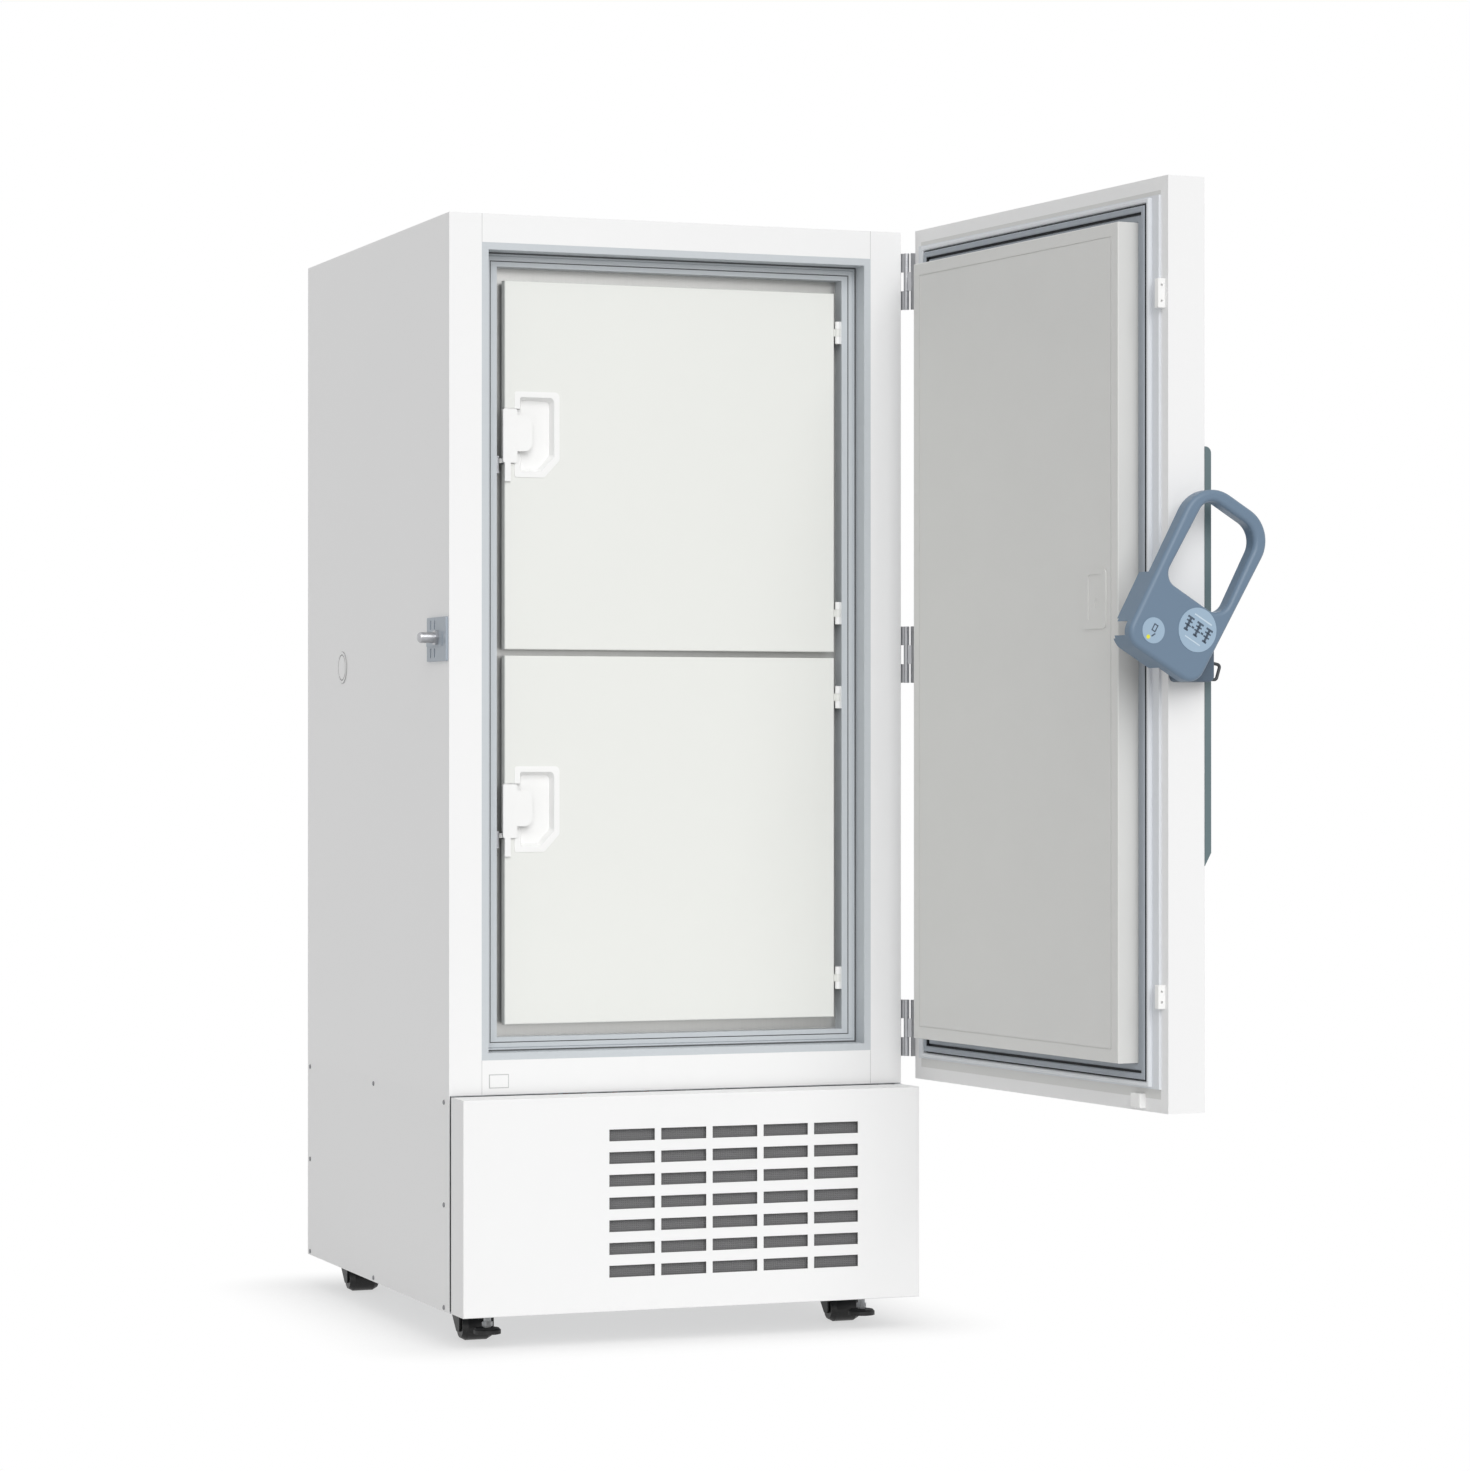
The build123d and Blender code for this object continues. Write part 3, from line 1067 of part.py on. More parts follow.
def base_chassis():
    """Floor tray, four corner posts, deck under the chamber, caster plates and the panel's lugs."""
    half, depth = HALF - SKIN, CABINET_DEPTH - SKIN
    tray = block((-half, half), (0, depth), (FLOOR_GAP, TRAY_TOP))
    for x, y in caster_places():
        tray += block((x - CASTER_PLATE_HALF[0], x + CASTER_PLATE_HALF[0]),
                      (y - CASTER_PLATE_HALF[1], y + CASTER_PLATE_HALF[1]),
                      (FLOOR_GAP - CASTER_PLATE, FLOOR_GAP))
        tray -= Pos(x, y, FLOOR_GAP) * Cylinder(KING_PIN + RUNNING_GAP, 20.0)
    for side in (-1, 1):
        tray -= Pos(side * FOOT_PLACE[0], FOOT_PLACE[1], FLOOR_GAP) * Cylinder(FOOT_STUD + RUNNING_GAP, 20.0)
    low_lug, high_lug = lug_lows()
    x = panel_axis()[0]
    lug_x = (x - LUG_HALF, x + LUG_HALF)
    tray += panel_lug(low_lug, 2.0) + block(lug_x, (0, LUG_FOOT), (FLOOR_GAP, low_lug + LUG_HEIGHT))
    deck = block((-half, half), (0, depth), (DECK, SEAM))
    deck += panel_lug(high_lug, -2.0) + block(lug_x, (0, LUG_FOOT), (high_lug, DECK))
    pieces = [tray, deck]
    for side in (-1, 1):
        for y, way in ((POST_FRONT, 1), (depth, -1)):
            pieces.append(corner_post(side * half, y, -side, way))
    return group(*pieces)


def corner_post(x, y, side, way):
    """Angle section post between tray and deck, its outer corner at x and y."""
    a, t = POST_SECTION, CHASSIS_SHEET
    corners = ((0, 0), (a, 0), (a, t), (t, t), (t, a), (0, a))
    return from_below(flat([(x + side * dx, y + way * dy) for dx, dy in corners]), TRAY_TOP, DECK)


def lower_side_panels():
    """Side covers of the base, left and right."""
    sides = []
    for x in (-HALF, HALF - SKIN):
        sides.append(block((x, x + SKIN), (0, CABINET_DEPTH), (FLOOR_GAP, SEAM)))
    return group(*sides)


def panel_screws():
    """Pan head screws along the edges of the lower side covers."""
    screws = []
    for side in (-1, 1):
        for y, z in side_screw_places():
            head = rod((side * HALF, y, z), (side * (HALF + SCREW_RISE), y, z), SCREW_RADIUS)
            rim = head.edges().filter_by_position(Axis.X, side * (HALF + SCREW_RISE) - 0.1,
                                                  side * (HALF + SCREW_RISE) + 0.1)
            screws.append(chamfer(rim, SCREW_RISE * 0.6))
    return group(*screws)


def side_screw_places():
    """Y and Z of the screws in a lower side cover: three rows, without one in its middle."""
    front, back = SCREW_FRONT_INSET, CABINET_DEPTH - SCREW_BACK_INSET
    low, high = FLOOR_GAP + SCREW_BOTTOM_INSET, SEAM - SCREW_TOP_INSET
    middle = ((front + back) / 2, (low + high) / 2)
    rows = [(y, z) for y in (front, middle[0], back) for z in (low, middle[1], high)]
    return [place for place in rows if place != middle]


def rear_cover():
    """Back cover of the base with a field of louvres and the cut-out for the power inlet."""
    half = HALF - SKIN
    cover = block((-half, half), (CABINET_DEPTH - SKIN, CABINET_DEPTH), (TRAY_TOP, DECK))
    for row in range(LOUVRE_COUNT):
        z = TRAY_TOP + LOUVRE_PITCH * (row + 1.5)
        cover -= Pos(HALF / 3, CABINET_DEPTH, z) * Box(LOUVRE_SIZE[0], 6 * SKIN, LOUVRE_SIZE[1])
    x, z = INLET_PLACE
    return cover - Pos(x, CABINET_DEPTH, z) * Box(INLET_SIZE[0], 6 * SKIN, INLET_SIZE[1])


def power_inlet():
    """Mains inlet let into the rear cover: flange, recess and three blades."""
    x, z = INLET_PLACE
    front = CABINET_DEPTH - INLET_DEPTH
    rim = INLET_RIM
    body = Pos(x, (front + CABINET_DEPTH) / 2, z) * Box(INLET_SIZE[0], INLET_DEPTH, INLET_SIZE[1])
    face = RectangleRounded(INLET_SIZE[0] + 2 * rim, INLET_SIZE[1] + 2 * rim, rim)
    body += from_front(Pos(x, z) * face, CABINET_DEPTH, CABINET_DEPTH + 2.0)
    recess = RectangleRounded(INLET_SIZE[0] - 2 * rim, INLET_SIZE[1] - 2 * rim, 2.0)
    body -= from_front(Pos(x, z) * recess, front + 4.0, CABINET_DEPTH + 3.0)
    for dx, dz in ((-12.0, -4.0), (0.0, 4.0), (12.0, -4.0)):
        body += Pos(x + dx, front + 12.0, z + dz) * Box(2.0, 18.0, 6.0)
    return body


def compressor(place, stubs):
    """Welded compressor can on a foot plate, its stubs on top."""
    x, y = place
    r, foot = COMPRESSOR_RADIUS, COMPRESSOR_FOOT
    low, high = TRAY_TOP + foot, COMPRESSOR_TOP
    can = Pos(x, y, (low + high) / 2) * Cylinder(r, high - low)
    can = fillet(can.edges().filter_by(GeomType.CIRCLE), 30.0)
    belt = (low + high) / 2
    can += Pos(x, y, belt) * Cylinder(r + 3.0, 6.0)
    can += block((x - r, x + r), (y - r, y + r), (low, low + 4.0))
    for dx in (-1, 1):
        for dy in (-1, 1):
            inward = r - 12.0
            can += Pos(x + dx * inward, y + dy * inward, TRAY_TOP + foot / 2) * Cylinder(9.0, foot)
    for sx, sy in stubs:
        can += Pos(sx, sy, high - 10.0 + (STUB_HEIGHT + 10.0) / 2) * Cylinder(
            PIPE_RADIUS + 2.0, STUB_HEIGHT + 10.0)
    return can


def heat_exchanger():
    """Insulated upright vessel in which one stage cools the other."""
    x, y = EXCHANGER_PLACE
    high = EXCHANGER_TOP
    vessel = Pos(x, y, (TRAY_TOP + high) / 2) * Cylinder(EXCHANGER_RADIUS, high - TRAY_TOP)
    vessel = fillet(vessel.edges().filter_by_position(Axis.Z, high - 0.1, high + 0.1), 12.0)
    for sx, sy in exchanger_stubs():
        vessel += Pos(sx, sy, high + STUB_HEIGHT / 2) * Cylinder(PIPE_RADIUS + 2.0, STUB_HEIGHT)
    return vessel


def exchanger_stubs():
    """Pipe connections on the heat exchanger: left, right, front and back of its middle."""
    x, y = EXCHANGER_PLACE
    return ((x - STUB_SPREAD, y), (x + STUB_SPREAD, y), (x, y - STUB_SPREAD), (x, y + STUB_SPREAD))


def compressor_stubs(place):
    """Suction and discharge connection of a compressor, left and right of its front."""
    x, y = place
    return ((x - 30.0, y - 30.0), (x + 30.0, y - 30.0))


def condenser_stubs():
    """Inlet at the condenser's right end and outlet at its left end."""
    return ((CONDENSER_X[1] - 14.0, CONDENSER_Y[0] + 15.0), (CONDENSER_X[0] + 14.0, CONDENSER_Y[1] - 15.0))


def condenser():
    """Finned block between two end plates that stand on the tray."""
    low, high = CONDENSER_LOW, CONDENSER_TOP
    x0, x1 = CONDENSER_X
    core = block((x0, x1), CONDENSER_Y, (low, high))
    count = int((x1 - x0 - FIN_PITCH) // FIN_PITCH)
    for i in range(count):
        x = x0 + FIN_PITCH * (i + 1)
        core -= block((x, x + FIN_GROOVE), (CONDENSER_Y[0] - 1, CONDENSER_Y[0] + 12.0), (low + 8.0, high - 8.0))
    for x in (x0 - SHROUD_SHEET, x1):
        core += block((x, x + SHROUD_SHEET), CONDENSER_Y, (TRAY_TOP, high))
    for sx, sy in condenser_stubs():
        core += Pos(sx, sy, high + STUB_HEIGHT / 2) * Cylinder(PIPE_RADIUS + 2.0, STUB_HEIGHT)
    return core


def fan_axis():
    """X and Z of the fan's axis, in the middle of the condenser."""
    return ((CONDENSER_X[0] + CONDENSER_X[1]) / 2, (CONDENSER_LOW + CONDENSER_TOP) / 2)


def fan_shroud():
    """Hood behind the condenser with the fan's opening, and the motor on four arms."""
    x, z = fan_axis()
    front, back = CONDENSER_Y[1], CONDENSER_Y[1] + SHROUD_DEPTH
    low, high = CONDENSER_LOW, CONDENSER_TOP
    t = SHROUD_SHEET
    hood = block(CONDENSER_X, (front, back), (low, high))
    hood -= block((CONDENSER_X[0] + t, CONDENSER_X[1] - t), (front - 1, back - t), (low + t, high - t))
    hood -= rod((x, front, z), (x, back + 1, z), FAN_RADIUS + FAN_TIP_GAP)
    motor_front = back + MOTOR_STANDOFF
    motor = rod((x, motor_front, z), (x, motor_front + MOTOR_LENGTH, z), MOTOR_RADIUS)
    motor += rod((x, back - SHROUD_DEPTH / 2, z), (x, motor_front, z), FAN_SHAFT)
    reach = FAN_RADIUS + FAN_TIP_GAP + 6.0
    arm_y = (motor_front, motor_front + 4.0)
    for side in (-1, 1):
        outer = x + side * reach
        arm = block((min(x, outer), max(x, outer)), arm_y, (z - 5.0, z + 5.0))
        leg = block((outer - 3.0, outer + 3.0), (back, motor_front + 4.0), (z - 5.0, z + 5.0))
        motor += arm + leg
    return hood + motor


def condenser_fan():
    """Five bladed fan on the motor's shaft."""
    x, z = fan_axis()
    mid = CONDENSER_Y[1] + SHROUD_DEPTH / 2
    hub = rod((x, mid - FAN_HUB_DEPTH / 2, z), (x, mid + FAN_HUB_DEPTH / 2, z), FAN_HUB)
    fan = hub
    length = FAN_RADIUS - FAN_HUB + 4.0
    for i in range(FAN_BLADES):
        blade = Pos(FAN_HUB - 4.0 + length / 2, 0, 0) * (Rot(28, 0, 0) * Box(length, BLADE_SHEET, BLADE_CHORD))
        fan += Pos(x, mid, z) * (Rot(0, i * 360.0 / FAN_BLADES, 0) * blade)
    fan &= rod((x, mid - SHROUD_DEPTH, z), (x, mid + SHROUD_DEPTH, z), FAN_RADIUS)
    return fan - rod((x, mid - 1.0, z), (x, mid + SHROUD_DEPTH, z), FAN_SHAFT + RUNNING_GAP)


def control_box():
    """Electrical box on the left side cover, with a lid."""
    low, high = CONTROL_Z
    box = block(CONTROL_X, CONTROL_Y, CONTROL_Z)
    lid = block((CONTROL_X[0] + 6.0, CONTROL_X[1] - 6.0), (CONTROL_Y[0] - 2.0, CONTROL_Y[0]),
                (low + 6.0, high - 6.0))
    return box + lid


def pipe(start, end, level):
    """Copper pipe up from one stub, along Y and X at its level, and down to the other stub."""
    (x0, y0, z0), (x1, y1, z1) = start, end
    points = ((x0, y0, z0), (x0, y0, level), (x0, y1, level), (x1, y1, level), (x1, y1, z1))
    path = FilletPolyline(*points, radius=PIPE_BEND)
    return sweep(Plane(origin=points[0], z_dir=(0, 0, 1)) * Circle(PIPE_RADIUS), path)


def refrigerant_pipes():
    """Pipes of the two stages between compressors, condenser, exchanger and chamber."""
    left, right, front, back = exchanger_stubs()
    suction_1, discharge_1 = compressor_stubs(COMPRESSOR_PLACES[0])
    discharge_2, suction_2 = compressor_stubs(COMPRESSOR_PLACES[1])
    inlet, outlet = condenser_stubs()
    can_top = COMPRESSOR_TOP + STUB_HEIGHT
    vessel_top = EXCHANGER_TOP + STUB_HEIGHT
    core_top = CONDENSER_TOP + STUB_HEIGHT
    levels = [FIRST_PIPE_LEVEL + PIPE_STEP * i for i in range(4)]
    pipes = [
        pipe((*discharge_1, can_top), (*inlet, core_top), levels[0]),
        pipe((*outlet, core_top), (*front, vessel_top), levels[1]),
        pipe((*left, vessel_top), (*suction_1, can_top), levels[2]),
        pipe((*discharge_2, can_top), (*right, vessel_top), levels[3]),
        rod((*back, vessel_top), (*back, DECK), PIPE_RADIUS),
        rod((*suction_2, can_top), (*suction_2, DECK), PIPE_RADIUS),
    ]
    return group(*pipes)


def caster_fork(x, y):
    """Swivel race, crown, two legs, king pin and axle of one caster."""
    top = FLOOR_GAP - CASTER_PLATE - KNUCKLE_GAP
    crown_low = 2 * WHEEL_RADIUS + WHEEL_TOP_GAP
    crown_high = crown_low + FORK_SHEET
    inner = WHEEL_WIDTH / 2 + FORK_SIDE_GAP
    outer = inner + FORK_SHEET
    axle_y = y - CASTER_TRAIL
    fork = Pos(x, y, (crown_high + top) / 2) * Cylinder(RACE_RADIUS, top - crown_high)
    fork += Pos(x, y, (crown_low + TRAY_TOP) / 2) * Cylinder(KING_PIN, TRAY_TOP - crown_low)
    fork += block((x - outer, x + outer), (axle_y - AXLE_BOSS, y + RACE_RADIUS), (crown_low, crown_high))
    side = flat(((axle_y - AXLE_BOSS, WHEEL_RADIUS - AXLE_BOSS), (axle_y + AXLE_BOSS, WHEEL_RADIUS - AXLE_BOSS),
                 (y + RACE_RADIUS, crown_low), (y + RACE_RADIUS, crown_high), (axle_y - AXLE_BOSS, crown_high)),
                (AXLE_BOSS * 0.8, AXLE_BOSS * 0.8, 1.0, 0.1, 0.1))
    fork += from_side(side, x - outer, x - inner) + from_side(side, x + inner, x + outer)
    return fork + rod((x - outer, axle_y, WHEEL_RADIUS), (x + outer, axle_y, WHEEL_RADIUS), AXLE_RADIUS)


def caster_wheel(x, y):
    """Wide wheel with sloped shoulders, turned about its axle."""
    half, tread = WHEEL_WIDTH / 2, WHEEL_TREAD / 2
    bore = AXLE_RADIUS + RUNNING_GAP
    points = ((-half, bore), (half, bore), (half, WHEEL_SHOULDER), (tread, WHEEL_RADIUS),
              (-tread, WHEEL_RADIUS), (-half, WHEEL_SHOULDER))
    profile = flat(points)
    return Pos(x, y - CASTER_TRAIL, WHEEL_RADIUS) * revolve(profile, Axis.X, 360)


def levelling_foot(side):
    """Foot disc with its nut and threaded stud, screwed up clear of the floor."""
    x, y = side * FOOT_PLACE[0], FOOT_PLACE[1]
    disc_top = FOOT_LIFT + FOOT_DISC
    nut_top = disc_top + 3.0 + FOOT_NUT_HEIGHT
    foot = Pos(x, y, FOOT_LIFT + FOOT_DISC / 2) * Cylinder(FOOT_RADIUS, FOOT_DISC)
    foot = chamfer(foot.edges().filter_by_position(Axis.Z, disc_top - 0.1, disc_top + 0.1), 3.0)
    foot += Pos(x, y, (disc_top + STUD_TOP) / 2 - 1.0) * Cylinder(FOOT_STUD, STUD_TOP - disc_top + 2.0)
    return foot + from_below(Pos(x, y) * RegularPolygon(FOOT_NUT, 6), disc_top + 3.0, nut_top)


def caster_places():
    """Swivel axes of the four casters, front left, front right, back left, back right."""
    return [(side * CASTER_X, y + CASTER_TRAIL) for y in CASTER_CONTACT_Y for side in (-1, 1)]


def freezer():
    """Every sub-part by its name."""
    parts = {
        "side_panel_left": side_panel(-1),
        "side_panel_right": side_panel(1),
        "top_panel": top_panel(),
        "back_panel": back_panel(),
        "front_rails": front_rails(),
        "cabinet_insulation": cabinet_insulation(),
        "throat_frame": throat_frame(),
        "inner_liner": inner_liner(),
        "shelves": shelves(),
        "latch_strikers": latch_strikers(),
        "inner_hinge_leaves": inner_hinge_leaves(),
        "cabinet_hinge_leaves": cabinet_hinge_leaves(),
        "lock_pin_bracket": lock_pin_bracket(),
        "lock_pin": lock_pin(),
        "access_port": access_port(),
        "base_chassis": base_chassis(),
        "lower_side_panels": lower_side_panels(),
        "panel_screws": panel_screws(),
        "rear_cover": rear_cover(),
        "first_stage_compressor": compressor(COMPRESSOR_PLACES[0], compressor_stubs(COMPRESSOR_PLACES[0])),
        "second_stage_compressor": compressor(COMPRESSOR_PLACES[1], compressor_stubs(COMPRESSOR_PLACES[1])),
        "condenser": condenser(),
        "condenser_filter": condenser_filter(),
        "fan_shroud": fan_shroud(),
        "condenser_fan": condenser_fan(),
        "heat_exchanger": heat_exchanger(),
        "control_box": control_box(),
        "refrigerant_pipes": refrigerant_pipes(),
        "power_inlet": power_inlet(),
        "main_door_shell": opened(main_door_shell()),
        "main_door_foam": opened(main_door_foam()),
        "main_door_liner": opened(main_door_liner()),
        "main_door_gasket": opened(main_door_gasket()),
        "display_panel": opened(display_panel()),
        "door_bumpers": opened(door_bumpers()),
        "pressure_port": opened(pressure_port()),
        "door_hinge_leaves": door_hinge_leaves(),
        "handle_base": opened(handle_base()),
        "padlock_loop": opened(padlock_loop()),
        "handle_lever": handle_lever(),
        "latch_cam": latch_cam(),
        "service_panel": service_panel(),
        "levelling_foot_left": levelling_foot(-1),
        "levelling_foot_right": levelling_foot(1),
    }
    for which in INNER_DOORS:
        parts["inner_door_" + which] = inner_door(which)
        parts["inner_gasket_" + which] = inner_gasket(which)
        parts["latch_plate_" + which] = latch_plate(which)
        parts["latch_lever_" + which] = latch_lever(which)
    corners = ("front_left", "front_right", "back_left", "back_right")
    for corner, place in zip(corners, caster_places()):
        parts["caster_fork_" + corner] = caster_fork(*place)
        parts["caster_wheel_" + corner] = caster_wheel(*place)
    return parts


os.makedirs("parts", exist_ok=True)
for name, shape in freezer().items():
    export_step(shape, f"parts/{name}.step")
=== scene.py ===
"""Upright ultra low temperature freezer with its door open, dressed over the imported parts."""

import json
import math

import bmesh
import bpy
from mathutils import Matrix, Vector


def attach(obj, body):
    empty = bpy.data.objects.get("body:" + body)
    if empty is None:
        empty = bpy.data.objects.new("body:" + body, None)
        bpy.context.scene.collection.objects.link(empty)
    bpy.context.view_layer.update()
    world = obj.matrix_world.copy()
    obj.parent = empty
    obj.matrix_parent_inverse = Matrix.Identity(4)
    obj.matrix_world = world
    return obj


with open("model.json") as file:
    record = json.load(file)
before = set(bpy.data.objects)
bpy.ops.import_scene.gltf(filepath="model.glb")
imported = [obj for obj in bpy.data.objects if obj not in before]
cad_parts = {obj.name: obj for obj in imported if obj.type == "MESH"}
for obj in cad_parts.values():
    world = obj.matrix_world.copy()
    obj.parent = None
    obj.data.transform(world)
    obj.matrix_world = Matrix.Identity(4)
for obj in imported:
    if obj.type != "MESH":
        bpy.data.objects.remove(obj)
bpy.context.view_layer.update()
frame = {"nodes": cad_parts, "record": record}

bl_info = {
    "name": "Laboratory Freezer Dressing",
    "version": (1, 0, 0),
    "blender": (4, 5, 0),
    "location": "3D View > Sidebar > Freezer",
    "description": "Finishes, handle discs, hinge screws, display and studio for an upright freezer",
    "category": "Object",
}

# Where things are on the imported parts, in metres, with the main door shut.
DOOR_HINGE = Vector((0.4023, -0.0014, 0.0))
DOOR_OPEN = math.radians(95.68)
DOOR_EDGE_X = -0.3925
HANDLE_PIVOT = (-0.027, 1.137)
HANDLE_TILT = math.radians(30.0)
HANDLE_FACE = 0.058
PLUG_MIDDLE = (0.0, 1.1206)
PLUG_HALF = (0.3200, 0.6366)
RECESS_MIDDLE = (0.0, 1.11675)
RECESS_HALF = (0.3265, 0.64575)
HINGE_LOWS = (0.4480, 1.0697, 1.6914)
LEAF_FACE_X = 0.3950
DISPLAY_MIDDLE_X = -0.3125
DISPLAY_FACE_Y = -0.0887
SCREEN_TOP = 1.3560
FOOT_DISC_TOP = 0.0295

# Lines and painted shade that the finishes draw; the painted shade lies in the throat frame's grooves and
# in the door seal's folds.
# PORT_GROOVE, SEGMENT_ROWS and each of SEAL_FOLD_SHADES say how far off a line lies and half its width.
RAIL_SEAM_X = 0.3372
SILL_COVER_MIDDLE = (-0.309, 0.4255)
SILL_COVER_HALF = (0.016, 0.0105)
SILL_COVER_LINE = 0.0007
PORT_MIDDLE = (0.0, 0.634, 1.101)
PORT_RIM = 0.0270
PORT_GROOVE = (0.022, 0.0011)
FRAME_SHADE_Y = 0.0374
FRAME_SHADE_BAND = 0.016
SEAL_SKIRT = 0.0252
SEAL_FOLD_SHADES = ((0.0130, 0.0017), (0.0253, 0.0014))
SCREEN_MIDDLE = 0.046
SEGMENT_ROWS = (0.022, 0.006)
SEGMENT_REACH = 0.044
SEGMENTS_PER_METRE = 62.0
SEGMENT_GAP = 0.3

# Sizes of the small pieces. SCREW_CROSS and SCREEN_PANE are a bar's width, height and thickness.
MARK_THICK = 0.0002
GAUGE_PITCH = 0.0185
SCREW_Y = 0.026
SCREW_HEIGHTS = (0.015, 0.047, 0.079)
SCREW_RADIUS = 0.0042
SCREW_RISE = 0.0018
SCREW_CROSS = (0.0052, 0.0011, 0.0003)
SCREEN_PANE = (0.1176, 0.0916, 0.0010)
SCREEN_SINK = 0.0012
KEYS_DROP = 0.126
KEYS_RISE = 0.0010
KEY_PITCH = 0.038
KEY_LONG = 0.0080
KEY_NARROW = 0.0014
KEY_THICK = 0.0003

# Light and floor. FOOTPRINT is the ground under the freezer, over which the floor is less white.
LIGHT_AIM = (0.10, 1.0, -0.62)
LIGHT_SPREAD = math.radians(50.0)
FLOOR_PAPER = 0.86
FOOTPRINT_MIDDLE = (0.0, 0.43, 0.0)
FOOTPRINT_HALF = (0.36, 0.40, 0.0)
SHADOW_FADE = 0.24
WHITE_UNDER_OBJECT = 0.58


def door_place():
    """Turns a place on the closed main door to where the open door has it."""
    turn = Matrix.Rotation(DOOR_OPEN, 4, "Z")
    return Matrix.Translation(DOOR_HINGE) @ turn @ Matrix.Translation(-DOOR_HINGE)


def handle_place(along, across, proud):
    """Place on the handle's face: X right, Y up and Z out of the face, as its user sees it."""
    y, z = HANDLE_PIVOT
    face = Matrix(((0.0, 0.0, -1.0, DOOR_EDGE_X - proud),
                   (-1.0, 0.0, 0.0, y),
                   (0.0, 1.0, 0.0, z),
                   (0.0, 0.0, 0.0, 1.0)))
    upright = Matrix.Rotation(-HANDLE_TILT, 4, "Z") @ Matrix.Translation((-along, across, 0.0))
    return door_place() @ face @ upright


class Value:
    """A node socket that plain arithmetic can be written with."""

    def __init__(self, finish, socket):
        self.finish = finish
        self.socket = socket

    def maths(self, operation, *others):
        """One Math node over this value and the others."""
        terms = dict(enumerate((self, *others)))
        return self.finish.node("ShaderNodeMath", {"operation": operation}, terms)

    def near(self, level, reach):
        """1 within a reach of a level, otherwise 0."""
        return abs(self - level) < reach

    def __add__(self, other):
        return self.maths("ADD", other)

    def __sub__(self, other):
        return self.maths("SUBTRACT", other)

    def __mul__(self, other):
        return self.maths("MULTIPLY", other)

    def __lt__(self, other):
        return self.maths("LESS_THAN", other)

    def __gt__(self, other):
        return self.maths("GREATER_THAN", other)

    def __pow__(self, other):
        return self.maths("POWER", other)

    def __abs__(self):
        return self.maths("ABSOLUTE")


class Finish:
    """The node tree of one material."""

    def __init__(self, name, colour, roughness, metallic=0.0):
        self.material = bpy.data.materials.new(name)
        self.material.use_nodes = True
        self.tree = self.material.node_tree
        self.shader = self.tree.nodes["Principled BSDF"]
        self.colour = (*colour[:3], 1.0)
        self.material.diffuse_color = self.colour
        self.set("Base Color", self.colour)
        self.set("Roughness", roughness)
        self.set("Metallic", metallic)
        self.place = self.node("ShaderNodeTexCoord", output="Object")

    def node(self, kind, settings=None, inputs=None, output=0):
        """Adds a node, sets it up, feeds its sockets and hands back one of its outputs."""
        node = self.tree.nodes.new(kind)
        for name, value in (settings or {}).items():
            setattr(node, name, value)
        for key, value in (inputs or {}).items():
            self.feed(node.inputs[key], value)
        return Value(self, node.outputs[output])

    def feed(self, socket, value):
        """Links a value to a socket, or sets the socket's own number."""
        if isinstance(value, Value):
            self.tree.links.new(value.socket, socket)
        else:
            socket.default_value = value

    def set(self, name, value):
        """Sets or links one of the shader's own sockets."""
        self.feed(self.shader.inputs[name], value)

    def mapped(self, stretch=(1.0, 1.0, 1.0), centre=(0.0, 0.0, 0.0)):
        """The object's own coordinates, centred and stretched."""
        centred = self.node("ShaderNodeMapping",
                            inputs={"Vector": self.place, "Location": [-c for c in centre]})
        return self.node("ShaderNodeMapping", inputs={"Vector": centred, "Scale": stretch})

    def part(self, vector, name):
        """One number of a vector."""
        return self.node("ShaderNodeSeparateXYZ", inputs={"Vector": vector}, output=name)

    def axis(self, name, centre=(0.0, 0.0, 0.0)):
        """One coordinate of the surface point, measured from a centre."""
        return self.part(self.mapped(centre=centre), name)

    def ripple(self, name, pitch):
        """A wave along one axis, from 0 on each line to 1 half way to the next."""
        return abs((self.axis(name) * (math.pi / pitch)).maths("SINE"))

    def closed_door_place(self):
        """The surface point where it lies with the main door shut."""
        from_hinge = self.node("ShaderNodeMapping",
                               inputs={"Vector": self.place, "Location": tuple(-DOOR_HINGE)})
        return self.node("ShaderNodeMapping",
                         inputs={"Vector": from_hinge, "Rotation": (0.0, 0.0, -DOOR_OPEN),
                                 "Location": tuple(DOOR_HINGE)})

    def outside(self, vector, middle, half):
        """How far a point lies outside an upright rectangle in X and Z, negative inside it."""
        x = abs(self.part(vector, "X") - middle[0]) - half[0]
        z = abs(self.part(vector, "Z") - middle[1]) - half[1]
        return x.maths("MAXIMUM", z)

    def noise(self, scale, detail, stretch=(1.0, 1.0, 1.0)):
        """Soft random value from 0 to 1."""
        return self.node("ShaderNodeTexNoise", inputs={"Vector": self.mapped(stretch), "Scale": scale,
                                                       "Detail": detail})

    def blend(self, factor, first, second):
        """Mixes two colours."""
        return self.node("ShaderNodeMix", {"data_type": "RGBA"},
                         {0: factor, 6: opaque(first), 7: opaque(second)}, output=2)

    def shades(self, factor, spread):
        """The finish's colour, a little darker and lighter with the factor."""
        dark = dimmed(self.colour[:3], 1.0 - spread)
        light = [min(1.0, c * (1.0 + spread)) for c in self.colour[:3]]
        return self.blend(factor, dark, light)

    def bump(self, height, depth, strength):
        """Raises the surface by a height map."""
        self.set("Normal", self.node("ShaderNodeBump", inputs={"Height": height, "Distance": depth,
                                                               "Strength": strength}))


def opaque(colour):
    """A colour with full alpha, or the link that carries one."""
    return colour if isinstance(colour, Value) else (*colour[:3], 1.0)


def dimmed(colour, share):
    """The colour at a share of its brightness."""
    return [c * share for c in colour]


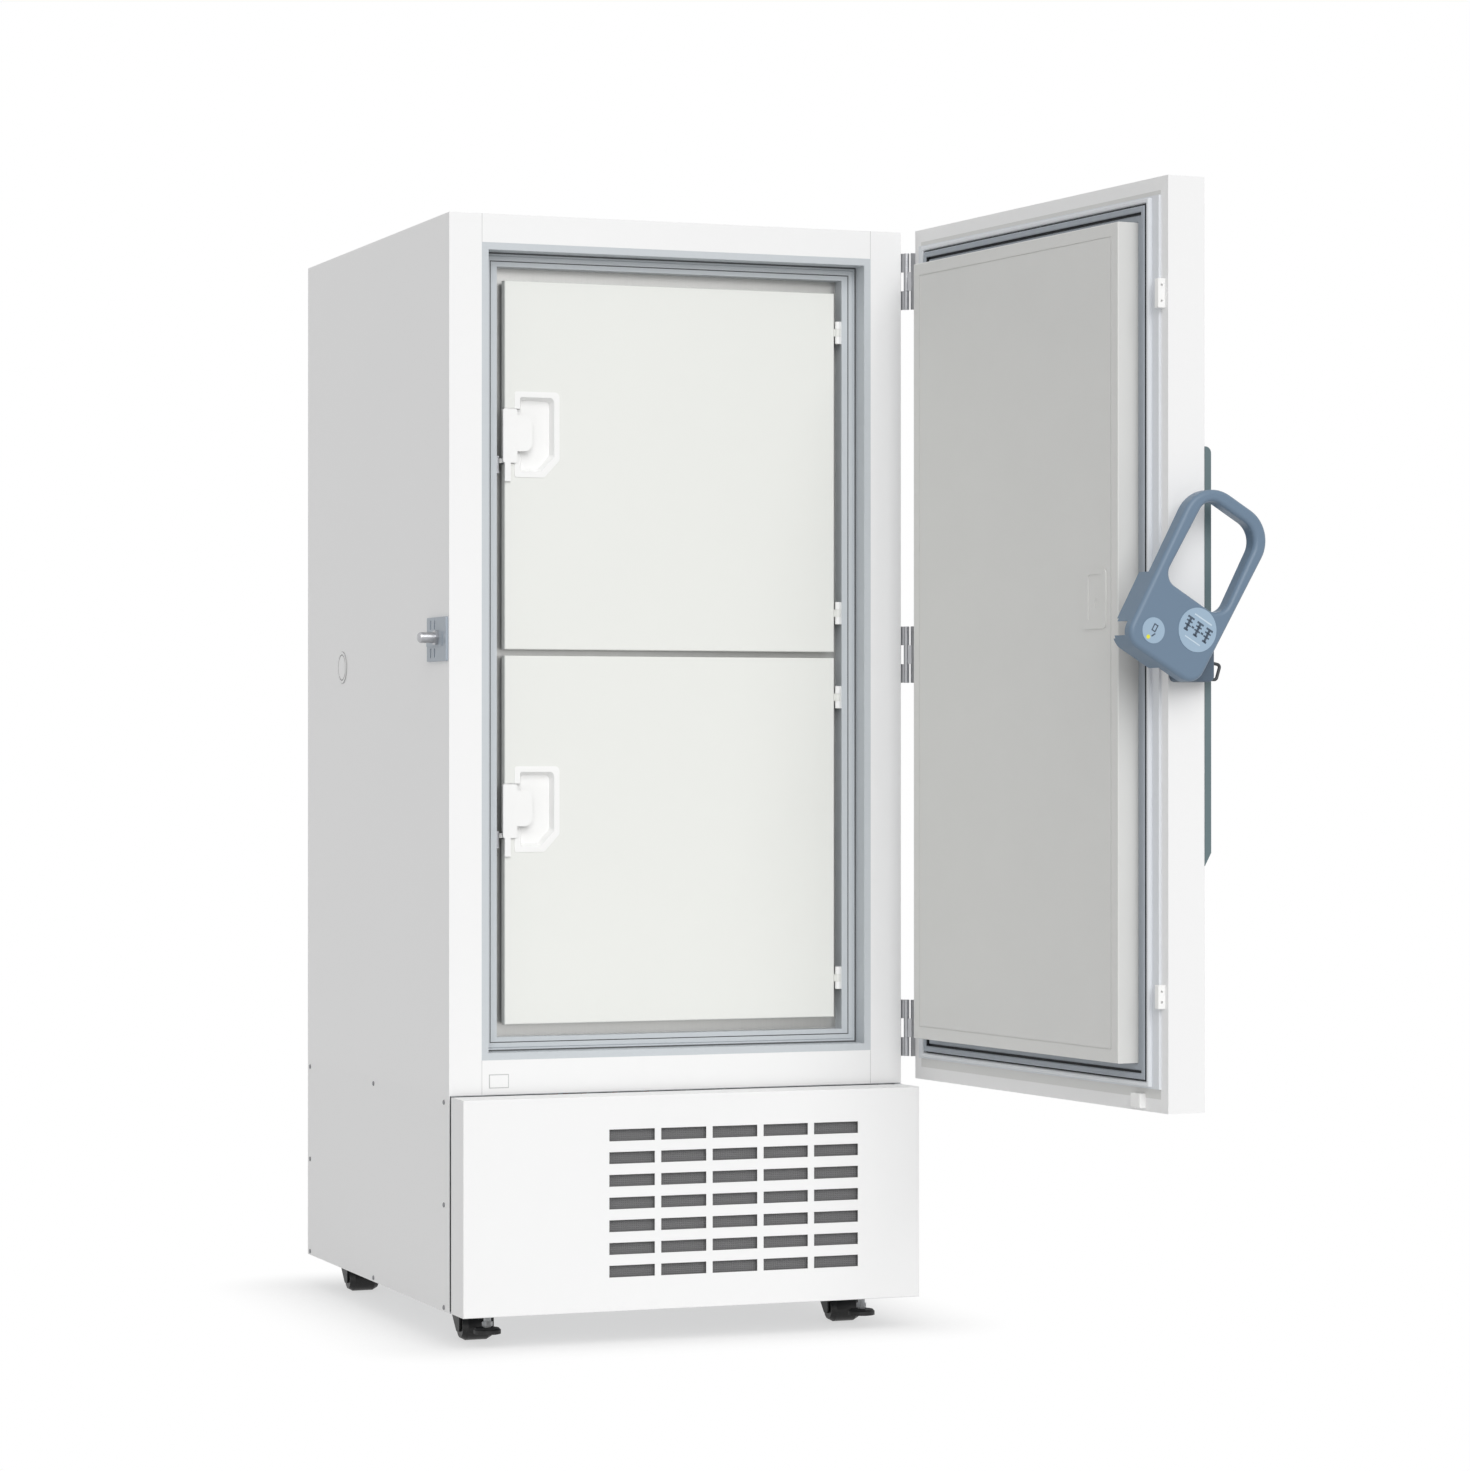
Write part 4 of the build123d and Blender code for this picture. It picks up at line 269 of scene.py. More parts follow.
def srgb(red, green, blue):
    """Linear colour from values as a screen shows them, 0 to 255."""
    def linear(level):
        level /= 255.0
        return level / 12.92 if level <= 0.04045 else ((level + 0.055) / 1.055) ** 2.4
    return (linear(red), linear(green), linear(blue))


def rail_lines(finish):
    """Seams beside the header and sill, and the outline of the sill's square cover."""
    seam = abs(finish.axis("X")) > RAIL_SEAM_X
    cover = abs(finish.outside(finish.place, SILL_COVER_MIDDLE, SILL_COVER_HALF)) < SILL_COVER_LINE
    return seam.maths("MAXIMUM", cover)


def port_lines(finish):
    """Rim and groove of the round access port."""
    y = finish.axis("Y", PORT_MIDDLE)
    z = finish.axis("Z", PORT_MIDDLE)
    radius = (y * y + z * z) ** 0.5
    rim = radius > PORT_RIM
    return rim.maths("MAXIMUM", radius.near(*PORT_GROOVE))


def powder_coat(name, colour, roughness=0.42, lines=None, depth=0.6):
    """Smooth powder coat with a faint orange peel, and darker joints where lines are given."""
    finish = Finish(name, colour, roughness)
    cloud = finish.noise(3.5, 3.0)
    peel = finish.noise(620.0, 2.0)
    paint = finish.shades(cloud, 0.008)
    if lines:
        paint = finish.blend(lines(finish), paint, dimmed(colour, depth))
    finish.set("Base Color", paint)
    finish.set("Roughness", cloud * 0.08 + (roughness - 0.04))
    finish.bump(peel, 0.00005, 0.6)
    return finish.material


def moulded_plastic(name, colour, roughness, grain=0.00004, scale=900.0):
    """Moulded plastic with a fine spark-eroded grain."""
    finish = Finish(name, colour, roughness)
    flow = finish.noise(9.0, 3.0)
    finish.set("Base Color", finish.shades(flow, 0.02))
    finish.set("Roughness", flow * 0.1 + (roughness - 0.05))
    finish.bump(finish.noise(scale, 2.0), grain, 0.7)
    return finish.material


def extruded_plastic(name, colour):
    """Extruded frame plastic, faintly streaked along its length, with painted shade in its grooves."""
    finish = Finish(name, colour, 0.36)
    upright = finish.noise(160.0, 2.0, (1.0, 1.0, 0.04))
    level = finish.noise(160.0, 2.0, (0.04, 1.0, 1.0))
    streak = upright * 0.5 + level * 0.5
    # Painted shade: a band round the recess behind the frame's lip, where its grooves lie, is drawn at 0.22
    # of the colour.
    behind = finish.axis("Y") > FRAME_SHADE_Y
    groove = behind * (finish.outside(finish.place, RECESS_MIDDLE, RECESS_HALF) > -FRAME_SHADE_BAND)
    finish.set("Base Color", finish.blend(groove, finish.shades(streak, 0.03), dimmed(colour, 0.22)))
    finish.set("Roughness", streak * 0.14 + 0.29)
    finish.bump(streak, 0.00004, 0.5)
    return finish.material


def soft_seal(name, colour):
    """Matt silicone with a dusty bloom."""
    finish = Finish(name, colour, 0.62)
    bloom = finish.noise(40.0, 4.0)
    finish.set("Base Color", finish.shades(bloom, 0.07))
    finish.set("Roughness", bloom * 0.2 + 0.52)
    finish.bump(finish.noise(1100.0, 2.0), 0.00004, 0.6)
    return finish.material


def door_seal(name, dark, pale):
    """Bellows seal of the main door: dark ribs next to the plug and a pale skirt outside them, with painted
    shade in the folds between the ribs.
    """
    finish = Finish(name, dark, 0.55)
    bloom = finish.noise(40.0, 4.0)
    from_plug = finish.outside(finish.closed_door_place(), PLUG_MIDDLE, PLUG_HALF)
    skirt = finish.blend(from_plug > SEAL_SKIRT, finish.shades(bloom, 0.07), pale)
    # Painted shade: the two folds between the ribs are drawn near black, at 0.1 of the dark colour.
    inner, outer = (from_plug.near(*fold) for fold in SEAL_FOLD_SHADES)
    finish.set("Base Color", finish.blend(inner.maths("MAXIMUM", outer), skirt, dimmed(dark, 0.1)))
    finish.set("Roughness", bloom * 0.2 + 0.45)
    finish.bump(finish.noise(1100.0, 2.0), 0.00004, 0.6)
    return finish.material


def screen_glass(name, glass, lit):
    """Dark display glass with rows of lit segments."""
    finish = Finish(name, glass, 0.12)
    vector = finish.closed_door_place()
    x = finish.part(vector, "X") - DISPLAY_MIDDLE_X
    z = finish.part(vector, "Z") - SCREEN_TOP
    row = abs(z + SCREEN_MIDDLE).near(*SEGMENT_ROWS)
    segment = (x * SEGMENTS_PER_METRE).maths("FRACT") > SEGMENT_GAP
    finish.set("Base Color", finish.blend(row * segment * (abs(x) < SEGMENT_REACH), glass, lit))
    return finish.material


def brushed_sheet(name, colour, stretch, roughness=0.34):
    """Sheet metal with a brushed or rolled grain."""
    finish = Finish(name, colour, roughness, 1.0)
    grain = finish.noise(420.0, 3.0, stretch)
    cloud = finish.noise(6.0, 2.0)
    finish.set("Base Color", finish.shades(grain * 0.6 + cloud * 0.4, 0.08))
    finish.set("Roughness", grain * 0.16 + (roughness - 0.08))
    finish.bump(grain, 0.00002, 0.6)
    return finish.material


def spangled_zinc(name, colour):
    """Galvanised sheet with zinc spangle."""
    finish = Finish(name, colour, 0.42, 0.9)
    spangle = finish.node("ShaderNodeTexVoronoi", inputs={"Vector": finish.mapped(), "Scale": 85.0},
                          output="Color")
    tone = finish.node("ShaderNodeSeparateColor", inputs={"Color": spangle}, output="Red")
    finish.set("Base Color", finish.shades(tone, 0.1))
    finish.set("Roughness", tone * 0.16 + 0.34)
    return finish.material


def plated_steel(name, colour):
    """Bright zinc plated steel with a fine satin."""
    finish = Finish(name, colour, 0.3, 0.95)
    satin = finish.noise(700.0, 3.0)
    cloud = finish.noise(30.0, 2.0)
    finish.set("Base Color", finish.shades(cloud, 0.09))
    finish.set("Roughness", satin * 0.12 + cloud * 0.1 + 0.2)
    finish.bump(satin, 0.00002, 0.5)
    return finish.material


def foamed_core(name, colour):
    """Rigid foam with small cells."""
    finish = Finish(name, colour, 0.9)
    cells = finish.node("ShaderNodeTexVoronoi", inputs={"Vector": finish.mapped(), "Scale": 420.0})
    finish.set("Base Color", finish.shades(cells, 0.12))
    finish.bump(cells, 0.0006, 0.8)
    return finish.material


def woven_filter(name, colour):
    """Grey air filter: a square weave of flat threads."""
    finish = Finish(name, colour, 0.75)
    pitch = 0.0032
    warp = finish.ripple("X", pitch)
    weft = finish.ripple("Z", pitch)
    gap = warp.maths("MAXIMUM", weft) ** 6.0
    finish.set("Base Color", finish.blend(gap, dimmed(colour, 0.78), dimmed(colour, 1.05)))
    finish.bump(gap, 0.0005, 0.9)
    return finish.material


def tarnished_copper(name, colour):
    """Drawn copper tube, a little darkened."""
    finish = Finish(name, colour, 0.32, 1.0)
    patch = finish.noise(26.0, 4.0)
    finish.set("Base Color", finish.blend(patch, dimmed(colour, 0.55), colour))
    finish.set("Roughness", patch * 0.2 + 0.22)
    return finish.material


def finned_core(name, colour):
    """Aluminium fins as a fine vertical pleat, with painted shade in the gaps between the fins."""
    finish = Finish(name, colour, 0.45, 0.85)
    pleat = finish.ripple("X", pitch=0.0021)
    # Painted shade: the gaps between the fins are drawn at 0.3 of the colour.
    finish.set("Base Color", finish.blend(pleat, dimmed(colour, 0.3), colour))
    finish.bump(pleat, 0.0008, 0.8)
    return finish.material


def enamelled_can(name, colour):
    """Glossy black enamel with slight runs."""
    finish = Finish(name, colour, 0.22)
    runs = finish.noise(45.0, 3.0, (1.0, 1.0, 0.3))
    finish.set("Roughness", runs * 0.18 + 0.14)
    finish.bump(runs, 0.0002, 0.4)
    return finish.material


def foot_finish(name, rubber, zinc, split):
    """Levelling foot: black disc below the split, plated stud with its thread above it."""
    finish = Finish(name, rubber, 0.55)
    pitch = 0.0015
    stud = finish.axis("Z") > split
    thread = (finish.axis("Z") * (2.0 * math.pi / pitch)).maths("SINE")
    finish.set("Base Color", finish.blend(stud, rubber, zinc))
    finish.set("Metallic", stud * 0.95)
    finish.set("Roughness", stud * -0.25 + 0.55)
    finish.bump(thread * stud, 0.0004, 0.8)
    return finish.material


class FreezerColours(bpy.types.PropertyGroup):
    """Colours of the freezer's finishes."""

    cabinet: bpy.props.FloatVectorProperty(
        name="Cabinet", description="Powder coat of cabinet, door and base", subtype="COLOR",
        size=3, min=0.0, max=1.0, default=srgb(239, 239, 239))
    throat: bpy.props.FloatVectorProperty(
        name="Throat frame", description="Plastic frame round the opening", subtype="COLOR",
        size=3, min=0.0, max=1.0, default=srgb(197, 202, 206))
    inner_door: bpy.props.FloatVectorProperty(
        name="Inner doors", description="Warm white coat of the inner doors", subtype="COLOR",
        size=3, min=0.0, max=1.0, default=srgb(231, 232, 228))
    latch: bpy.props.FloatVectorProperty(
        name="Latches", description="White plastic of latches, hinges and bumpers", subtype="COLOR",
        size=3, min=0.0, max=1.0, default=srgb(243, 243, 242))
    liner: bpy.props.FloatVectorProperty(
        name="Door liner", description="Moulded liner of the main door", subtype="COLOR",
        size=3, min=0.0, max=1.0, default=srgb(217, 217, 215))
    seal: bpy.props.FloatVectorProperty(
        name="Seals", description="Silicone of the gaskets", subtype="COLOR",
        size=3, min=0.0, max=1.0, default=srgb(160, 167, 175))
    skirt: bpy.props.FloatVectorProperty(
        name="Door seal skirt", description="Pale outer band of the main door's seal", subtype="COLOR",
        size=3, min=0.0, max=1.0, default=srgb(222, 225, 229))
    handle: bpy.props.FloatVectorProperty(
        name="Handle", description="Plastic of the turning handle", subtype="COLOR",
        size=3, min=0.0, max=1.0, default=srgb(104, 125, 146))
    label: bpy.props.FloatVectorProperty(
        name="Handle discs", description="The two discs on the handle", subtype="COLOR",
        size=3, min=0.0, max=1.0, default=srgb(155, 178, 198))
    display: bpy.props.FloatVectorProperty(
        name="Display panel", description="Housing of the display panel", subtype="COLOR",
        size=3, min=0.0, max=1.0, default=srgb(96, 114, 118))
    filter: bpy.props.FloatVectorProperty(
        name="Filter", description="Weave behind the grille", subtype="COLOR",
        size=3, min=0.0, max=1.0, default=srgb(118, 118, 119))


class StudioSettings(bpy.types.PropertyGroup):
    """Camera and light."""

    lens: bpy.props.FloatProperty(
        name="Lens", description="Focal length on a 36 mm wide frame", subtype="DISTANCE_CAMERA",
        unit="CAMERA", default=104.30)
    camera: bpy.props.FloatVectorProperty(
        name="Camera", description="Where the camera stands", subtype="TRANSLATION", unit="LENGTH",
        size=3, default=(-2.3845, -6.5357, 0.9609))
    yaw: bpy.props.FloatProperty(
        name="Yaw", description="Turn of the view to the right", subtype="ANGLE", unit="ROTATION",
        default=math.radians(20.79))
    pitch: bpy.props.FloatProperty(
        name="Pitch", description="Tilt of the view upwards", subtype="ANGLE", unit="ROTATION",
        default=math.radians(0.17))
    ambient: bpy.props.FloatProperty(
        name="Ambient", description="Level of the even light from all round", default=0.475, min=0.0)
    key: bpy.props.FloatProperty(
        name="Key", description="Level of the soft light from the front", default=1.80, min=0.0)
    floor_size: bpy.props.FloatProperty(
        name="Floor", description="Side of the pale floor", subtype="DISTANCE", unit="LENGTH", default=40.0)


class HandleLabels(bpy.types.PropertyGroup):
    """Discs on the handle's face."""

    large_radius: bpy.props.FloatProperty(
        name="Large disc", description="Radius of the disc over the pivot", subtype="DISTANCE",
        unit="LENGTH", default=0.0333)
    small_radius: bpy.props.FloatProperty(
        name="Small disc", description="Radius of the disc at the corner", subtype="DISTANCE",
        unit="LENGTH", default=0.0194)
    small_place: bpy.props.FloatVectorProperty(
        name="Small disc's place", description="Place of the small disc from the pivot",
        subtype="TRANSLATION", unit="LENGTH", size=2, default=(0.0659, -0.0398))
    thickness: bpy.props.FloatProperty(
        name="Thickness", description="How far the discs stand off the face", subtype="DISTANCE",
        unit="LENGTH", default=0.0006)


def colour_of(name):
    """A colour from the settings, as plain numbers."""
    return tuple(getattr(bpy.context.scene.freezer_colours, name))


def make_piece(mesh_data, name, body, material):
    """Turns a bmesh into a finished piece that rides with a body."""
    bmesh.ops.remove_doubles(mesh_data, verts=mesh_data.verts, dist=0.000002)
    bmesh.ops.recalc_face_normals(mesh_data, faces=mesh_data.faces)
    mesh = bpy.data.meshes.new(name)
    mesh_data.to_mesh(mesh)
    mesh_data.free()
    mesh.shade_smooth()
    mesh.set_sharp_from_angle(angle=math.radians(35.0))
    mesh.materials.append(material)
    piece = bpy.data.objects.new(name, mesh)
    bpy.context.scene.collection.objects.link(piece)
    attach(piece, body)


def disc(mesh_data, radius, thickness, place, segments):
    """A thin round plate that stands on its place's XY plane."""
    ring = bmesh.ops.create_circle(mesh_data, cap_ends=True, segments=segments, radius=radius)["verts"]
    face = [f for f in mesh_data.faces if all(v in ring for v in f.verts)]
    raised = bmesh.ops.extrude_face_region(mesh_data, geom=face)["geom"]
    top = [v for v in raised if isinstance(v, bmesh.types.BMVert)]
    bmesh.ops.translate(mesh_data, vec=(0.0, 0.0, thickness), verts=top)
    bmesh.ops.transform(mesh_data, matrix=place, verts=ring + top)


def bar(mesh_data, size, centre, place, turn=0.0):
    """A small flat bar that stands on its place's XY plane."""
    cube = bmesh.ops.create_cube(mesh_data, size=1.0)["verts"]
    spot = Matrix.Translation((centre[0], centre[1], size[2] / 2)) @ Matrix.Rotation(turn, 4, "Z")
    bmesh.ops.transform(mesh_data, matrix=place @ spot @ Matrix.Diagonal((*size, 1.0)), verts=cube)


class FREEZER_OT_paint_parts(bpy.types.Operator):
    """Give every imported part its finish"""

    bl_idname = "freezer.paint_parts"
    bl_label = "Paint the Parts"

    def execute(self, context):
        finishes = part_finishes()
        special = special_finishes()
        slots = {part["node"]: part["material_slot"] for part in frame["record"]["subparts"]}
        for node, part in frame["nodes"].items():
            material = special.get(node, finishes[slots[node]])
            part.data.materials.clear()
            part.data.materials.append(material)
        return {"FINISHED"}


def part_finishes():
    """Material of each of the record's slots."""
    return {
        "white_paint": powder_coat("white powder coat", colour_of("cabinet")),
        "shaded_base": powder_coat("base powder coat", colour_of("cabinet"), 0.46),
        "galvanised": spangled_zinc("galvanised sheet", srgb(178, 181, 184)),
        "foam": foamed_core("rigid foam", srgb(232, 218, 176)),
        "throat_plastic": extruded_plastic("throat frame plastic", colour_of("throat")),
        "inner_white": powder_coat("inner door coat", colour_of("inner_door"), 0.5),
        "latch_white": moulded_plastic("white latch plastic", colour_of("latch"), 0.3),
        "stainless": brushed_sheet("brushed stainless", srgb(190, 190, 188), (1.0, 1.0, 0.02)),
        "gasket_grey": soft_seal("grey silicone", colour_of("seal")),
        "door_grey": moulded_plastic("door liner plastic", colour_of("liner"), 0.45, 0.00006, 500.0),
        "handle_blue": moulded_plastic("blue handle plastic", colour_of("handle"), 0.4),
        "display_dark": moulded_plastic("display housing", colour_of("display"), 0.35),
        "steel": plated_steel("zinc plated steel", srgb(176, 177, 180)),
        "dark_steel": powder_coat("black coated steel", srgb(52, 56, 60), 0.4),
        "filter_grey": woven_filter("filter weave", colour_of("filter")),
        "aluminium_fins": finned_core("condenser fins", srgb(196, 198, 200)),
        "compressor_black": enamelled_can("compressor enamel", srgb(30, 31, 33)),
        "copper": tarnished_copper("copper tube", srgb(196, 128, 92)),
        "control_grey": powder_coat("control box coat", srgb(160, 163, 166), 0.5),
        "black_plastic": moulded_plastic("black plastic", srgb(30, 30, 32), 0.42),
        "wheel_black": moulded_plastic("wheel nylon", srgb(13, 13, 14), 0.36),
    }


def special_finishes():
    """Parts whose finish differs from their slot's."""
    foot = foot_finish("levelling foot", srgb(20, 20, 21), srgb(236, 237, 238), FOOT_DISC_TOP)
    special = {
        "levelling_foot_left": foot,
        "levelling_foot_right": foot,
        "front_rails": powder_coat("rail coat", colour_of("cabinet"), lines=rail_lines),
        "access_port": powder_coat("port cap coat", colour_of("cabinet"), lines=port_lines, depth=0.5),
        "main_door_gasket": door_seal("main door seal", colour_of("seal"), colour_of("skirt")),
        "handle_base": moulded_plastic("dark handle base", dimmed(colour_of("handle"), 0.52), 0.4),
        "panel_screws": plated_steel("panel screw steel", srgb(128, 129, 132)),
        "lock_pin_bracket": powder_coat("bracket coat", srgb(158, 168, 178), 0.36),
    }
    fork = powder_coat("caster fork coat", srgb(24, 25, 26), 0.45)
    for node in frame["nodes"]:
        if node.startswith("caster_fork"):
            special[node] = fork
    return special


class FREEZER_OT_label_handle(bpy.types.Operator):
    """Put the two discs with their turning marks on the handle"""

    bl_idname = "freezer.label_handle"
    bl_label = "Label the Handle"

    def execute(self, context):
        labels = context.scene.freezer_labels
        disc_finish = moulded_plastic("pale blue disc", colour_of("label"), 0.32, 0.00001)
        ink = moulded_plastic("dark mark", srgb(70, 84, 100), 0.4, 0.00001)
        pale_ink = moulded_plastic("pale mark", srgb(196, 212, 224), 0.4, 0.00001)
        dot = moulded_plastic("yellow dot", srgb(226, 222, 62), 0.35, 0.00001)
        thick = labels.thickness
        over_pivot = handle_place(0.0, 0.0, HANDLE_FACE)
        at_corner = handle_place(*labels.small_place, HANDLE_FACE)
        discs = bmesh.new()
        disc(discs, labels.large_radius, thick, over_pivot, 64)
        disc(discs, labels.small_radius, thick, at_corner, 48)
        make_piece(discs, "handle_discs", "handle", disc_finish)
        marks = bmesh.new()
        lifted = Matrix.Translation((0.0, 0.0, thick))
        large_face = over_pivot @ lifted
        small_face = at_corner @ lifted
        for step in (-1, 0, 1):
            self.gauge_mark(marks, large_face, step * GAUGE_PITCH)
        for step in (-0.5, 0.5):
            bar(marks, (0.0045, 0.0030, MARK_THICK), (step * GAUGE_PITCH, -0.001), large_face)
        self.key_mark(marks, small_face)
        make_piece(marks, "handle_marks", "handle", ink)
        lines = bmesh.new()
        bar(lines, (0.034, 0.0022, MARK_THICK), (0.001, 0.0185), large_face)
        bar(lines, (0.030, 0.0018, MARK_THICK), (0.0, -0.0185), large_face)
        make_piece(lines, "handle_lines", "handle", pale_ink)
        spot = bmesh.new()
        disc(spot, 0.0032, 0.0003, small_face @ Matrix.Translation((-0.0035, -0.0129, 0.0)), 24)
        make_piece(spot, "handle_dot", "handle", dot)
        return {"FINISHED"}

    def gauge_mark(self, marks, place, x):
        """One of three plain pictograms: a head bar, a body, two rungs and a foot."""
        for width, height, y in ((0.0125, 0.0030, 0.0105), (0.0040, 0.0200, 0.0), (0.0110, 0.0024, 0.0045),
                                 (0.0110, 0.0024, -0.0020), (0.0080, 0.0030, -0.0095)):
            bar(marks, (width, height, MARK_THICK), (x, y), place)

    def key_mark(self, marks, place):
        """A small upright key shape."""
        for width, height, x, y, turn in ((0.0075, 0.0018, 0.0, 0.0095, 0.0),
                                          (0.0075, 0.0018, 0.0, -0.0005, 0.0),
                                          (0.0018, 0.0115, -0.003, 0.0045, 0.0),
                                          (0.0018, 0.0115, 0.003, 0.0045, 0.0),
                                          (0.0022, 0.0075, 0.003, -0.006, -0.5)):
            bar(marks, (width, height, MARK_THICK), (x, y), place, turn)


class FREEZER_OT_fit_screws(bpy.types.Operator):
    """Put the pan head screws on the main hinges' leaves"""

    bl_idname = "freezer.fit_screws"
    bl_label = "Fit the Hinge Screws"

    def execute(self, context):
        zinc = plated_steel("screw zinc", srgb(186, 187, 190))
        outward = Matrix.Rotation(math.pi / 2, 4, "Y")
        for name, body, y, place in (("cabinet_hinge_screws", "cabinet", SCREW_Y, Matrix.Identity(4)),
                                     ("door_hinge_screws", "main_door", -SCREW_Y, door_place())):
            heads = bmesh.new()
            for low in HINGE_LOWS:
                for height in SCREW_HEIGHTS:
                    spot = Matrix.Translation((LEAF_FACE_X, y, low + height)) @ outward
                    self.pan_head(heads, place @ spot)
            make_piece(heads, name, body, zinc)
        return {"FINISHED"}

    def pan_head(self, heads, place):
        """A round head with a cross on it."""
        disc(heads, SCREW_RADIUS, SCREW_RISE, place, 24)
        top = place @ Matrix.Translation((0.0, 0.0, SCREW_RISE))
        for turn in (math.pi / 4, -math.pi / 4):
            bar(heads, SCREW_CROSS, (0.0, 0.0), top, turn)


class FREEZER_OT_fit_display(bpy.types.Operator):
    """Put the glass in the display's window and the marks on its keys"""

    bl_idname = "freezer.fit_display"
    bl_label = "Fit the Display"

    def execute(self, context):
        glass = screen_glass("display glass", srgb(16, 20, 24), srgb(150, 196, 204))
        top = Matrix.Translation((DISPLAY_MIDDLE_X, DISPLAY_FACE_Y, SCREEN_TOP))
        face = door_place() @ top @ Matrix.Rotation(math.pi / 2, 4, "X")
        pane = bmesh.new()
        bar(pane, SCREEN_PANE, (0.0, -SCREEN_MIDDLE), face @ Matrix.Translation((0.0, 0.0, -SCREEN_SINK)))
        make_piece(pane, "display_glass", "main_door", glass)
        marks = bmesh.new()
        keys = face @ Matrix.Translation((0.0, -KEYS_DROP, KEYS_RISE))
        for step in (-1, 0, 1):
            bar(marks, (KEY_LONG, KEY_NARROW, KEY_THICK), (step * KEY_PITCH, 0.0), keys)
            if step:
                bar(marks, (KEY_NARROW, KEY_LONG, KEY_THICK), (step * KEY_PITCH, 0.0), keys)
        make_piece(marks, "display_key_marks", "main_door",
                   moulded_plastic("pale key mark", srgb(216, 222, 224), 0.4, 0.00001))
        return {"FINISHED"}


